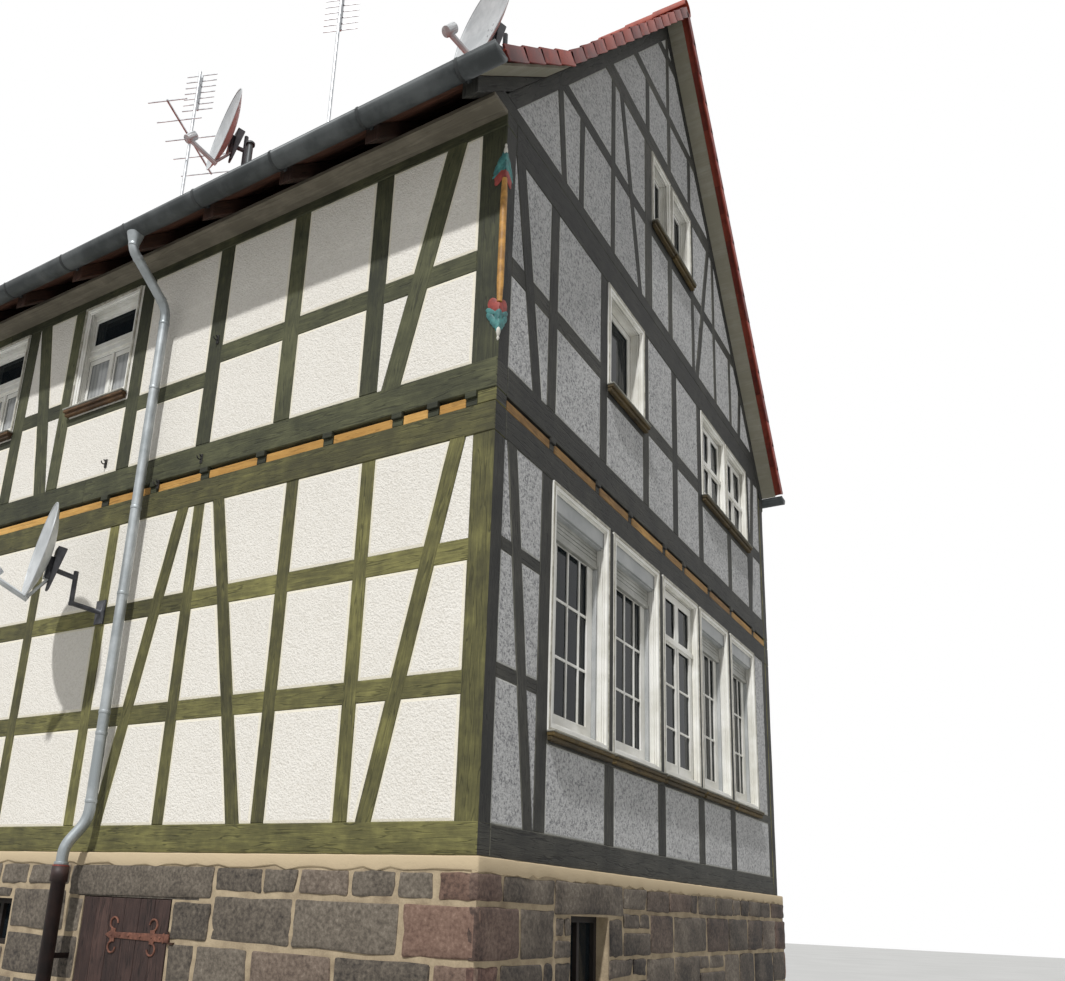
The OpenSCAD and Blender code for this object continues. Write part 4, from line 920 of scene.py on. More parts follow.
# Roof covering: a boarded deck and pantiles row by row, in three fields that climb from their foot (y, z)
fields = {}
for side, way, foot, rows, run in [
    ("eaves", 1, (-halfWidth - house["eavesOut"], eavesLine(-house["eavesOut"])), 4,
     house["kinkIn"] + house["eavesOut"]),
    ("front", 1, (-halfWidth + house["kinkIn"], house["kink"]), 14, house["ridgeIn"] - house["kinkIn"]),
    ("back", -1, (-halfWidth + house["backEaves"], backLine(house["backEaves"])), 18,
     house["backEaves"] - house["ridgeIn"]),
]:
    pitch = pitches[side]
    fields[side] = {"way": way, "pitch": pitch, "foot": foot, "rows": rows,
                    "gauge": run / math.cos(pitch) / rows}


# Sets a piece modelled at the origin to the foot of its field
def layAtFoot(piece, field, x):
    piece.rotation_euler = (field["pitch"], 0, 0 if field["way"] > 0 else math.pi)
    piece.location = (x, *field["foot"])
    settle()


# Repeats it up the slope, each in a shade of its own
def climb(piece, field, count, step, facesEach, seed):
    repeat(piece, count, (0, field["way"] * step * math.cos(field["pitch"]), step * math.sin(field["pitch"])))
    markTones(piece, facesEach, seed)


tile = {"cover": 0.23235, "columns": 50, "lap": 0.07, "thick": 0.013, "base": 0.052, "tilt": 0.017,
        "profile": [(0.0, 0.014), (0.02, 0.03), (0.045, 0.037), (0.07, 0.03), (0.09, 0.012), (0.12, 0.002),
                    (0.155, 0.0), (0.19, 0.002), (0.215, 0.008), (0.244, 0.01)]}
aside = 10  # finished columns of points wait this far away

# One tile: a flat grid raised along its profile, given its thickness, tilted and laid at the eaves
for name, side, seed in (("tilesEaves", "eaves", 21), ("tilesFront", "front", 22), ("tilesBack", "back", 23)):
    field, profile = fields[side], tile["profile"]
    length = field["gauge"] + tile["lap"]
    bpy.ops.mesh.primitive_grid_add(x_subdivisions=len(profile) - 1, y_subdivisions=1, size=1, calc_uvs=False)
    piece = bpy.context.object
    piece.name = name
    startEdit(piece)
    columns = sorted({round(vert.co.x, 4) for vert in bmesh.from_edit_mesh(piece.data).verts})
    for column, (across, rise) in zip(columns, profile):
        pick(piece, "verts", lambda vert: abs(vert.co.x - column) < 1e-3)
        bpy.ops.transform.translate(value=(across + aside - column, 0, rise + tile["base"]))
    bpy.ops.mesh.select_all(action="SELECT")
    bpy.ops.transform.translate(value=(-aside, 0.5, 0))
    bpy.ops.transform.resize(value=(1, length, 1), center_override=(0, 0, 0))
    pick(piece, "verts", lambda vert: vert.co.y < 0.01)
    bpy.ops.transform.translate(value=(0, 0, tile["tilt"] * length / field["gauge"]))
    bpy.ops.mesh.select_all(action="SELECT")
    bpy.ops.mesh.extrude_region_move(TRANSFORM_OT_translate={"value": (0, 0, -tile["thick"])})
    faceOutward()
    endEdit()
    layAtFoot(piece, field, -field["way"] * (halfLength + house["vergeOut"]))
    facesEach = len(piece.data.polygons)
    repeat(piece, tile["columns"], (field["way"] * tile["cover"], 0, 0))
    climb(piece, field, field["rows"], field["gauge"], facesEach, seed)
    smooth(piece)
    dress(piece, ["firedClay"])

# Boards under the tiles
deckBoard = {"wide": 0.17, "joint": 0.004, "thick": 0.022, "middle": 0.0125, "arris": 0.003}
deckParts = []
for field in fields.values():
    reach = field["gauge"] * field["rows"]
    count = max(2, round(reach / deckBoard["wide"]))
    step = reach / count
    piece = addBox((house["length"], step - deckBoard["joint"], deckBoard["thick"]),
                   (0, step / 2, deckBoard["middle"]))
    breakEdges(piece, deckBoard["arris"], segments=1)
    layAtFoot(piece, field, 0)
    climb(piece, field, count, step, len(piece.data.polygons), 24)
    deckParts.append(piece)
dress(joinPieces("roofDeck", deckParts), ["deckSpruce"], ["roof_front", "roof_back"])
print("stage: roof covering")

# Verge tiles: a lug hangs down over the verge board, row over row
lug = {"wide": 0.018, "deep": 0.112, "lap": 0.045, "cutBack": 0.03, "slip": 0.014, "border": 0.001,
       "arris": 0.006}
vergeParts = []
for end in (1, -1):
    for field, seed in zip(fields.values(), (31, 32, 33)):
        length = field["gauge"] + lug["lap"]
        piece = addBox((lug["wide"], length, lug["deep"]), (-lug["wide"] / 2, length / 2, lug["deep"] / 2))
        startEdit(piece)
        pick(piece, "verts", lambda vert: vert.co.y < 0.01 and vert.co.z < 0.01)
        bpy.ops.transform.translate(value=(0, lug["cutBack"], 0))
        pick(piece, "verts", lambda vert: vert.co.y > 0.1)
        bpy.ops.transform.translate(value=(0, 0, -lug["slip"]))  # the upper end slips under the next tile
        pick(piece, "faces", lambda face: face.normal.x < -0.9)
        bpy.ops.mesh.inset(thickness=lug["border"])
        endEdit()
        breakEdges(piece, lug["arris"], 40)
        if end < 0:
            piece.scale = (-1, 1, 1)
            settle()
            startEdit(piece)
            faceOutward()
            endEdit()
        layAtFoot(piece, field, field["way"] * end * (halfLength + house["vergeOut"]))
        climb(piece, field, field["rows"], field["gauge"], len(piece.data.polygons), seed)
        vergeParts.append(piece)
assemble("vergeTiles", vergeParts, "vergeClay")

# Ridge: half-round tiles, each a little wider at its open end
ridge = {"count": 32, "radius": 0.116, "lap": 0.05, "play": 0.002, "thick": 0.014, "skirt": 0.03,
         "sink": 0.062, "narrow": 0.93, "open": 1.05}
step = (house["length"] + 2 * house["vergeOut"] - ridge["lap"]) / ridge["count"]
bpy.ops.mesh.primitive_cylinder_add(vertices=28, radius=ridge["radius"],
                                    depth=step + ridge["lap"] - ridge["play"], end_fill_type="NOTHING",
                                    rotation=(0, math.pi / 2, 0), location=((step + ridge["lap"]) / 2, 0, 0),
                                    calc_uvs=False)
ridgeTile = settle()
startEdit(ridgeTile)
bpy.ops.mesh.select_all(action="SELECT")
bpy.ops.mesh.bisect(plane_co=(0, 0, -ridge["skirt"]), plane_no=(0, 0, 1), clear_inner=True)
pick(ridgeTile, "verts", lambda vert: vert.co.x > step * 0.9)
bpy.ops.transform.resize(value=(1, ridge["narrow"], ridge["narrow"]), center_override=(0, 0, 0))
pick(ridgeTile, "verts", lambda vert: vert.co.x < 0.01)
bpy.ops.transform.resize(value=(1, ridge["open"], ridge["open"]), center_override=(0, 0, 0))
faceOutward()
endEdit()
useModifier(ridgeTile, "SOLIDIFY", thickness=ridge["thick"], offset=-1)
ridgeTile.name = "ridgeTiles"
ridgeTile.location = (-halfLength - house["vergeOut"], -halfWidth + house["ridgeIn"],
                      house["crown"] - ridge["sink"])
settle()
facesEach = len(ridgeTile.data.polygons)
repeat(ridgeTile, ridge["count"], (step, 0, 0))
markTones(ridgeTile, facesEach, 34)
smooth(ridgeTile)
dress(ridgeTile, ["firedClay"], ["ridge_tiles"])
print("stage: verges and ridge")

# Plinth: squared blocks in courses over the mortar, larger and redder at the corners
masonry = {"proud": 0.04, "out": 0.012, "joint": 0.018, "back": 0.05, "jitter": 0.014, "level": 0.6,
           "uneven": 0.006, "courses": [0.0, 0.33, 0.665, 1.01, 1.365, 1.715, 1.915], "arris": 0.018,
           "dressed": 0.03, "wide": (0.42, 0.92), "wideInLow": (0.2, 0.6), "lowCourse": 0.22,
           "quoins": (0.55, 0.3), "atCorner": 0.5, "least": 0.16, "red": (0.5, 1.0), "cold": (-0.9, 0.35),
           "split": 0.16, "splitCourse": 0.3}
plinthReach = {wall: (-masonry["proud"], run + masonry["proud"]) for wall, run in (
    ("front", house["length"]), ("back", house["length"]), ("gable", house["width"]),
    ("far", house["width"]))}
# Door and cellar windows with their lintels: from, to, bottom, top
plinthHoles = {
    "front": [(2.61, 3.63, 0.0, 1.66), (2.18, 3.84, 1.66, 1.915), (4.57, 5.13, 1.23, 1.61)],
    "gable": [(1.265, 1.92, 1.08, 1.665), (1.0, 2.2, 1.665, 1.915)],
    "back": [], "far": [],
}


# The free stretches of one course: each hole is taken out, and equal neighbours are run together
def freeStretches(wall, z0, z1):
    holes = plinthHoles[wall]
    ends = sorted({*plinthReach[wall], *(end for hole in holes for end in hole[:2])})
    stretches = []
    for a, b in zip(ends, ends[1:]):
        parts = [(z0, z1)]
        for u0, u1, low, high in holes:
            if u0 < (a + b) / 2 < u1:
                parts = [cut for p, q in parts for cut in ((p, min(q, low)), (max(p, high), q))
                         if cut[1] - cut[0] > 0.05]
        for p, q in parts:
            if stretches and abs(stretches[-1][1] - a) < 1e-6 and stretches[-1][2:] == (p, q):
                stretches[-1] = (stretches[-1][0], b, p, q)
            else:
                stretches.append((a, b, p, q))
    return stretches


def coursedBlocks(wall, seed):
    chance = random.Random(seed)
    low, high = plinthReach[wall]
    depth = (masonry["proud"] - masonry["back"], masonry["proud"] + masonry["out"])
    gap, out, blocks = masonry["joint"], masonry["out"], []

    def stone(a, b, z0, z1, redness):
        jitter = [chance.uniform(-masonry["jitter"], masonry["jitter"]) for _ in range(6)]
        us = [a + gap + jitter[0], b - gap + jitter[1], b - gap + jitter[2], a + gap + jitter[3]]
        zs = [z0 + gap + jitter[k] * masonry["level"] for k in (4, 5)] + [z1 - gap] * 2
        if a < low + 0.01:
            us[0] = us[3] = a - out
        if b > high - 0.01:
            us[1] = us[2] = b + out
        face = depth[1] + chance.uniform(-masonry["uneven"], masonry["uneven"])
        blocks.append(quad(wall, list(zip(us, zs)), (depth[0], face), warm=redness))

    for row, (z0, z1) in enumerate(zip(masonry["courses"], masonry["courses"][1:])):
        for a, b, p, q in freeStretches(wall, z0, z1):
            u = a
            while u < b - 0.02:
                width = chance.uniform(*masonry["wide" if q - p > masonry["lowCourse"] else "wideInLow"])
                corner = u < low + 0.01 or u > high - masonry["atCorner"]
                if u < low + 0.01:
                    width = masonry["quoins"][row % 2]
                stop = u + width if b - u - width > masonry["least"] else b
                redness = max(0.0, chance.uniform(*masonry["red" if corner else "cold"]))
                if chance.random() < masonry["split"] and q - p > masonry["splitCourse"] and not corner:
                    middle = (p + q) / 2 + chance.uniform(-0.03, 0.03)
                    across = u + (stop - u) * chance.uniform(0.35, 0.65)
                    stone(u, stop, p, middle, redness)
                    stone(u, across, middle, q, 0.0)
                    stone(across, stop, middle, q, redness)
                else:
                    stone(u, stop, p, q, redness)
                u = stop
    return blocks


lintels = {"front": [quad("front", [(2.21, 1.672), (3.82, 1.668), (3.815, 1.9), (2.2, 1.905)],
                          (-0.01, 0.054))],
           "gable": [quad("gable", [(1.01, 1.675), (2.19, 1.68), (2.185, 1.905), (1.015, 1.9)],
                          (-0.01, 0.056))]}
for name, wall, finish, seed in [
    ("stonesFront", "front", "basaltBlock", 41), ("stonesGable", "gable", "smokedBlock", 42),
    ("stonesBack", "back", "basaltBlock", 43), ("stonesFar", "far", "basaltBlock", 44),
]:
    piece = makeBlocks(name, coursedBlocks(wall, seed) + lintels.get(wall, []), seed)
    cutLongEdges(piece, 0.09, 3)
    breakEdges(piece, masonry["arris"], 45)
    roughenFaces(piece, chipped, masonry["dressed"])
    smooth(piece, 40)
    dress(piece, [finish])
print("stage: masonry")

# A mortar fillet closes the joint under the timber, its lower edge trowelled unevenly over the stones
fillet = {"low": 1.905, "top": 1.998, "out": 0.051, "past": 0.008, "cuts": 260, "ragged": 0.019,
          "arris": 0.01, "rough": 0.012}
chance = random.Random(45)
strips = [level(wall, plinthReach[wall][0] - fillet["past"], plinthReach[wall][1] + fillet["past"],
                fillet["low"], fillet["top"] - fillet["low"], (0.0, fillet["out"]))
          for wall in ("front", "gable", "back", "far")]
mortar = makeBlocks("mortarFillet", strips, 46)
cutLongEdges(mortar, 1, fillet["cuts"])
drops = {}
for vert in mortar.data.vertices:
    if vert.co.z < fillet["low"] + 0.01:
        outside = min(halfLength - abs(vert.co.x), halfWidth - abs(vert.co.y)) < 0
        key = (round(vert.co.x, 2), round(vert.co.y, 2)) if outside else (0, 0)
        vert.co.z += drops.setdefault(key, chance.uniform(-fillet["ragged"], fillet["ragged"]))
breakEdges(mortar, fillet["arris"], 60)
roughenFaces(mortar, chipped, fillet["rough"])
smooth(mortar, 50)
dress(mortar, ["filletMortar"])

# Windows: beads round the panes, thin bars, stepped linings; the seam is a dark strip round a sash: its
# rubber seal and painted shade of the gap
glazing = {"casing": 0.055, "sash": 0.052, "bead": 0.012, "beadDeep": 0.01, "beadSunk": 0.008, "bar": 0.022,
           "gap": 0.005, "gapDeep": (-0.01, 0.0015), "gapIn": 0.024, "edge": (0.024, (0.0, 0.012)),
           "ledge": (0.016, (0.0, 0.007)), "stile": 0.8, "bound": 1.4, "barBack": -0.03,
           "barFace": (-0.006, -0.008), "lining": ((0.02, -0.012), (0.014, -0.036), (0.008, -0.06))}
edges, seams, trims = [{wall: [] for wall in ("front", "back", "gable", "far")} for _ in range(3)]


# The sash stands back from the wall's face; cross is the height of a crossbar and rows are those of thin bars
def windowTrim(wall, u, w, z, head, back, edge, cross=0, leaves=1, columns=(), rows=()):
    casing, sash, gap = glazing["casing"], glazing["sash"], glazing["gap"]
    u0, u1, z0, z1 = u + casing, u + w - casing, z + casing, head - casing
    gapDepth = tuple(-back + deep for deep in glazing["gapDeep"])
    edges[wall] += ringBlocks(wall, (u, u + w, z, head), -0.003, *glazing["edge"])
    trim = ringBlocks(wall, (u, u + w, z, head), -0.03, *glazing["ledge"])
    seams[wall] += ringBlocks(wall, (u0, u1, z0, z1), -glazing["gapIn"], gap, gapDepth)
    if leaves > 1:
        top = z + cross + 0.01 if cross > 0 else z1 - glazing["gapIn"]
        seams[wall].append(upright(wall, u + w / 2, z0 + glazing["gapIn"], top, gap, gapDepth))
    for wide, out in glazing["lining"]:
        if out > -back + 0.016:
            trim += ringBlocks(wall, (u0, u1, z0, z1), 0.002, wide, (out - 0.012, out))
    edge *= sash
    stops = [u0 + edge]
    for i in range(1, leaves):
        stops += [u + w * i / leaves - glazing["stile"] * sash, u + w * i / leaves + glazing["stile"] * sash]
    stops.append(u1 - edge)
    storeys = [(z0 + edge, z1 - edge)]
    if cross > 0:
        bound = glazing["bound"] * sash
        storeys = [(z0 + edge, z + cross), (z + cross + bound, z1 - edge)]
        trim.append(level(wall, u0, u1, z + cross + 0.012, bound - 0.024, (-back, -back + 0.014)))
    sunk, wide = -back - glazing["beadSunk"], glazing["bar"]
    upDepth, acrossDepth = [(-back + glazing["barBack"], -back + face) for face in glazing["barFace"]]
    for a, b in zip(stops[::2], stops[1::2]):
        for low, high in storeys:
            trim += ringBlocks(wall, (a, b, low, high), 0.001, glazing["bead"],
                               (sunk, sunk + glazing["beadDeep"]))
            if (low, high) == storeys[0] or cross == 0:
                trim += [upright(wall, a + (b - a) * part, low, high, wide, upDepth) for part in columns]
                trim += [level(wall, a, b, height - wide / 2, wide, acrossDepth) for height in rows]
    return trim


# The long walls have one wide light above a moulded transom and two leaves below it
longWindow = {"back": 0.095, "deep": 0.042, "rail": 0.042, "slim": 0.024, "transom": (0.6, 0.745),
              "head": 0.05, "astragal": (0.036, 0.012), "nose": ((0.03, 0.035, 0.022), (-0.035, 0.02, 0.014)),
              "pane": (-0.112, -0.1085), "tuck": 0.002,
              "lining": ((0.024, -0.012), (0.016, -0.036), (0.008, -0.06)), "seam": (0.028, 0.012, 0.004)}
longBodies, palePanes, topPanes = [], [], []
casing = glazing["casing"]
rail, slim, back, tuck = [longWindow[key] for key in ("rail", "slim", "back", "tuck")]
sash = (-back - longWindow["deep"], -back)
beadDepth = (-back - glazing["beadSunk"], -back + 0.002)
gapDepth = tuple(-back + deep for deep in glazing["gapDeep"])
for wall, head, share in (("front", house["plate"], 1.0), ("back", backPlate, 0.82)):
    for u in longLights:
        z, w = frontWindow["z"], frontWindow["w"]
        low, high = [z + part * share for part in longWindow["transom"]]
        u0, u1, z0, headZ, middle = u + casing, u + w - casing, z + casing, head - casing, u + w / 2
        z1 = headZ - longWindow["head"] * share
        longBodies += ringBlocks(wall, (u, u + w, z, head), 0, casing, (-house["wall"], 0.0))
        longBodies.append(level(wall, u0, u1, z1, longWindow["head"] * share, (sash[0], -back + 0.012)))
        for a, b in ((u0, middle - tuck), (middle + tuck, u1)):
            longBodies += ringBlocks(wall, (a, b, z0, low), 0, rail, sash)
        wide, out = longWindow["astragal"]
        longBodies.append(upright(wall, middle, z0, low, wide, (-back - 0.01, -back + out)))
        longBodies.append(level(wall, u0, u1, low, high - low, (sash[0], -back + 0.004)))
        for (rise, tall, out), foot in zip(longWindow["nose"], (low, high)):
            longBodies.append(level(wall, u0, u1, foot + rise, tall, (-back, -back + out)))
        longBodies += ringBlocks(wall, (u0, u1, high, z1), 0, slim, sash)
        for a, b in ((u0 + rail - tuck, middle - rail), (middle + rail, u1 - rail + tuck)):
            palePanes.append(level(wall, a, b, z0 + rail - tuck, low - z0 - 2 * rail + 2 * tuck,
                                   longWindow["pane"]))
        topPanes.append(level(wall, u0 + slim - tuck, u1 - slim + tuck, high + slim - tuck,
                              z1 - high - 2 * slim + 2 * tuck, longWindow["pane"]))
        for box in ((u0 + rail, middle - rail, z0 + rail, low - rail),
                    (middle + rail, u1 - rail, z0 + rail, low - rail),
                    (u0 + slim, u1 - slim, high + slim, z1 - slim)):
            trims[wall] += ringBlocks(wall, box, 0.001, glazing["bead"], beadDepth)
        for wide, out in longWindow["lining"]:
            trims[wall] += ringBlocks(wall, (u0, u1, z0, headZ), 0.002, wide, (out - 0.012, out))
        edges[wall] += ringBlocks(wall, (u, u + w, z, head), -0.003, *glazing["edge"])
        beside, inside, above = longWindow["seam"]
        seams[wall].append(upright(wall, middle - beside, z0 + 0.01, low, glazing["gap"], gapDepth))
        box = (u0 + inside, u1 - inside, z0 + inside, low + above)
        seams[wall] += ringBlocks(wall, box, 0, glazing["gap"], gapDepth)
# The two cellar windows have panes in their frames, dark with painted shade of the cellar behind: from, to,
# bottom, height
cellarPanes = {"front": (4.61, 5.09, 1.27, 0.3), "gable": (1.305, 1.88, 1.12, 0.505), "depth": (-0.1, -0.094)}
topPanes += [level(wall, *cellarPanes[wall], cellarPanes["depth"]) for wall in ("front", "gable")]

gableKinds = {
    "barred": {"back": 0.118, "edge": 2.4, "columns": (0.2, 0.5, 0.8), "rows": (3.61, 4.08, 4.55)},
    "crossed": {"back": 0.05, "edge": 1.9, "cross": 1.35, "leaves": 2, "rows": (3.465, 3.893)},
    "single": {"back": 0.118, "edge": 1.6}, "double": {"back": 0.05, "edge": 1.5, "cross": 0.47, "leaves": 2},
    "small": {"back": 0.095, "edge": 1.0},
}
windowRows = [
    (groundWindows, groundWindowZ, house["rail"], ("barred", "barred", "crossed", "barred", "barred")),
    (upperWindows, upperWindowZ, house["tie"], ("single", "double", "double")),
    (atticWindows, atticWindowZ, house["collar"], ("small", "small")),
]
cover = {"foot": 0.004, "head": 0.02, "narrower": 0.004, "depth": (-0.004, 0.006)}
covers = []
for wall in ("gable", "far"):
    for row, z, head, kinds in windowRows:
        for (u, w), kind in zip(row, kinds):
            trims[wall] += windowTrim(wall, u, w, z, head, **gableKinds[kind])
    for u, width in between:
        covers.append(upright(wall, u, groundWindowZ + cover["foot"], house["rail"] - cover["head"],
                              width - cover["narrower"], cover["depth"]))
for name, blocks, seed, arris, segments, slot, finish, replaced in [
    ("longWindows", longBodies, 56, 0.004, 2, "white_wood", "paintedWood", ["long_wall_windows"]),
    ("palePanes", palePanes, 57, 0.001, 1, "glass", "nettedGlass", ()),
    ("topPanes", topPanes, 58, 0.001, 1, "glass", "windowGlass", ()),
    ("trimLong", trims["front"] + trims["back"], 51, 0.003, 2, "white_wood", "paintedWood", ()),
    ("trimGables", trims["gable"] + trims["far"], 51, 0.003, 2, "white_wood", "paintedWood", ()),
    ("postCovers", covers, 64, 0.003, 2, "dark_timber", "darkOak", ()),
    ("casingEdges", sum(edges.values(), []), 59, 0.004, 2, "white_wood", "agedPaint", ()),
    ("sashSeams", sum(seams.values(), []), 60, 0.0006, 1, "white_wood", "sashRubber", ()),
]:
    piece = makeBlocks(name, blocks, seed)
    breakEdges(piece, arris, 50, segments)
    dress(piece, [finish], replaced)

# Sills: a nose over two stepped aprons; each step is its overhang, drop, height and reach
sill = {"nose": (0.015, 0.015, 0.015, 0.07),
        "aprons": ((0.01, 0.044, 0.03, 0.062), (0.005, 0.078, 0.034, 0.042))}
places = [(wall, u, frontWindow["w"], frontWindow["z"]) for wall in ("front", "back") for u in longLights]
places += [(wall, u, w, z) for wall in ("gable", "far") for row, z, head, kinds in windowRows for u, w in row]
noses, aprons = [[level(wall, u - past, u + w + past, z - drop, high, (0.0, reach))
                  for wall, u, w, z in places for past, drop, high, reach in steps]
                 for steps in ([sill["nose"]], sill["aprons"])]
piece = makeBlocks("sillNoses", noses, 52)
roughen(piece, 3, 0.006, segments=2)
dress(piece, ["sillGrey"], ["window_sills"])
piece = makeBlocks("sillAprons", aprons, 53)
roughen(piece, 3, 0.007, segments=2)
dress(piece, ["goldenOak", "reddishOak"],
      second=lambda face: abs(face.center.y) > halfWidth - 0.001)

# Roller shutters at the gable's ground windows: slats, the box over them and a rail down each side
shutter = {"windows": (0, 1, 3, 4), "head": 0.055, "box": 0.15, "foot": 0.395, "slats": 5, "groove": 0.006,
           "slatIn": 0.06, "slatDepth": (-0.112, -0.088), "lowest": -0.08,
           "backIn": 0.056, "backDepth": (-0.118, -0.113),
           "boxIn": 0.054, "boxDepth": (-0.118, -0.026), "lip": 0.012, "lipDepth": (-0.118, -0.045),
           "railIn": 0.072, "railFoot": 0.07, "rails": ((0.03, (-0.116, -0.082)), (0.034, (-0.118, -0.1)))}
slats, boxes = [], []
for wall in ("gable", "far"):
    for u, w in [groundWindows[i] for i in shutter["windows"]]:
        low = house["rail"] - shutter["head"] - shutter["box"]
        foot = house["rail"] - shutter["foot"]
        pitch = (low - foot) / shutter["slats"]
        back, face = shutter["slatDepth"]
        for k in range(shutter["slats"]):
            slats.append(level(wall, u + shutter["slatIn"], u + w - shutter["slatIn"], foot + k * pitch,
                               pitch - shutter["groove"], (back, face if k else shutter["lowest"])))
        slats.append(level(wall, u + shutter["backIn"], u + w - shutter["backIn"], foot, low - foot,
                           shutter["backDepth"]))
        for z, high, depth in ((low, shutter["box"] + 0.002, shutter["boxDepth"]),
                               (low - shutter["lip"], shutter["lip"] - 0.001, shutter["lipDepth"])):
            boxes.append(level(wall, u + shutter["boxIn"], u + w - shutter["boxIn"], z, high, depth))
        for side in (u + shutter["railIn"], u + w - shutter["railIn"]):
            for wide, depth in shutter["rails"]:
                boxes.append(upright(wall, side, groundWindowZ + shutter["railFoot"], foot - 0.002, wide,
                                     depth))
piece = makeBlocks("shutterSlats", slats, 54)
breakEdges(piece, 0.008)
smooth(piece, 30)
dress(piece, ["greyPlastic"], ["shutter_slats"])
piece = makeBlocks("boxFronts", boxes, 55)
breakEdges(piece, 0.005)
dress(piece, ["boxMetal"], ["shutter_boxes"])
print("stage: windows")

# Cellar door: planks on two ledges
door = {"u": 2.62, "width": 1.0, "z": 0.025, "top": 1.654, "planks": 6, "gap": 0.003, "back": 0.014,
        "face": 0.043, "uneven": 0.001, "ledges": (0.27, 1.32), "ledge": 0.12, "ledgeIn": 0.07,
        "ledgeDepth": (-0.002, 0.014)}
wide = door["width"] / door["planks"]
planks = [upright("front", door["u"] + k * wide + wide / 2, door["z"], door["top"], wide - door["gap"],
                  (door["back"], door["face"] - door["uneven"] * (k % 2))) for k in range(door["planks"])]
planks += [level("front", door["u"] + door["ledgeIn"], door["u"] + door["width"] - door["ledgeIn"], z,
                 door["ledge"], door["ledgeDepth"]) for z in door["ledges"]]
leaf = makeBlocks("doorLeaf", planks, 61)
roughen(leaf, 8, 0.005, 0.003, chipped, segments=2)
dress(leaf, ["doorOak"], ["cellar_door"], "cellar_door")

# Its iron: scrolls open towards the strap, straps that widen before the point, a latch, knuckles and nails
strap = {"levels": (0.33, 1.38), "outline": ((2.592, 0.03), (3.185, 0.022), (3.225, 0.04), (3.3, 0.004)),
         "face": 0.051,
         "bands": ((2.77, 0.05, 0.05, 0.0525), (3.215, 0.05, 0.05, 0.0525), (2.645, 0.036, 0.014, 0.054)),
         "scrolls": ((2.77, -1), (3.215, 1)), "rise": 0.088, "ring": 0.042, "rod": 0.0075, "open": 0.004,
         "axis": (2.958, -3.629), "knuckle": 0.013, "high": 0.06,
         "nails": (2.68, 2.77, 2.9, 3.03, 3.13, 3.225), "nail": 0.009, "nailOut": 0.052}
ironParts, straps = [], []
for z in strap["levels"]:
    for u, side in strap["scrolls"]:
        for up in (1, -1):
            centre = place("front", u, door["face"] + 0.004, z + up * strap["rise"])
            ironParts.append(addOpenRing(
                strap["ring"], strap["rod"], 28, (math.pi / 2, 0, 0), centre, lambda vert: (
                    (vert.co.x - centre.x) * side > strap["open"]
                    and (vert.co.z - centre.z) * up < -strap["open"])))
    for (a, low), (b, high) in zip(strap["outline"], strap["outline"][1:]):
        straps.append(quad("front", [(a, z - low), (b, z - high), (b, z + high), (a, z + low)],
                           (door["face"], strap["face"])))
    for u, half, wide, face in strap["bands"]:
        straps.append(upright("front", u, z - half, z + half, wide, (door["face"], face)))
straps += [upright("front", 3.56, 0.86, 1.02, 0.034, (door["face"], 0.05)),
           level("front", 3.5, 3.6, 0.925, 0.022, (0.05, 0.062))]
flats = makeBlocks("strapTips", straps, 62)
breakEdges(flats, 0.003, 35)
ironParts.append(flats)
for z in strap["levels"]:
    ironParts.append(addRod(strap["knuckle"], strap["high"], (*strap["axis"], z)))
    breakEdges(ironParts[-1], 0.003, 60)
    for u in strap["nails"]:
        bpy.ops.mesh.primitive_uv_sphere_add(segments=10, ring_count=6, radius=strap["nail"],
                                             location=place("front", u, strap["nailOut"], z))
        ironParts.append(bpy.context.object)
assemble("strapScrolls", ironParts, "rustedIron", ["door_straps"], 40, "cellar_door")

# Iron hooks on the long wall, each a ring open at the top on a small plate
hook = {"places": ((2.989, 6.572), (2.993, 5.382), (4.331, 5.632), (3.526, 5.245), (7.6, 5.4), (8.9, 6.6)),
        "rod": 0.006, "ring": 0.022, "out": 0.03, "open": 0.004, "below": 0.05, "above": 0.035, "plate": 0.03,
        "depth": (-0.004, 0.006)}
hooks = []
for u, z in hook["places"]:
    hooks.append(addOpenRing(
        hook["ring"], hook["rod"], 20, (0, math.pi / 2, 0), place("front", u, hook["out"], z),
        lambda vert: vert.co.z > z + hook["open"] and vert.co.y < -halfWidth - hook["out"] - hook["open"]))
    hooks.append(makeBlocks("hookPlate", [upright("front", u, z - hook["below"], z + hook["above"],
                                                  hook["plate"], hook["depth"])], 63))
assemble("ironHooks", hooks, "darkIron", angle=40)
print("stage: door")


# Gutters and pipes get merged, smooth copies and their fittings
def refine(nodeName, name, finishes, angle=40, second=None):
    piece = mergedCopy(nodeName, name, 0.0002)
    endEdit()
    smooth(piece, angle)
    dress(piece, finishes, [nodeName], second=second)


refine("gutters", "gutterTroughs", ["weatheredZinc"])
refine("standpipe", "standPipe", ["castIron"])


# A rod along the eaves or, given a thickness, the lower half of a tube
def addTube(radius, x0, x1, y, z, vertices, thickness=0.0):
    bpy.ops.mesh.primitive_cylinder_add(vertices=vertices, radius=radius, depth=x1 - x0,
                                        rotation=(0, math.pi / 2, 0), location=((x0 + x1) / 2, y, z),
                                        calc_uvs=False, end_fill_type="NOTHING" if thickness else "NGON")
    part = settle()
    if thickness:
        startEdit(part)
        bpy.ops.mesh.select_all(action="SELECT")
        bpy.ops.mesh.bisect(plane_co=(0, 0, z), plane_no=(0, 0, 1), clear_outer=True)
        faceOutward()
        endEdit()
        useModifier(part, "SOLIDIFY", thickness=thickness, offset=1)
    return part
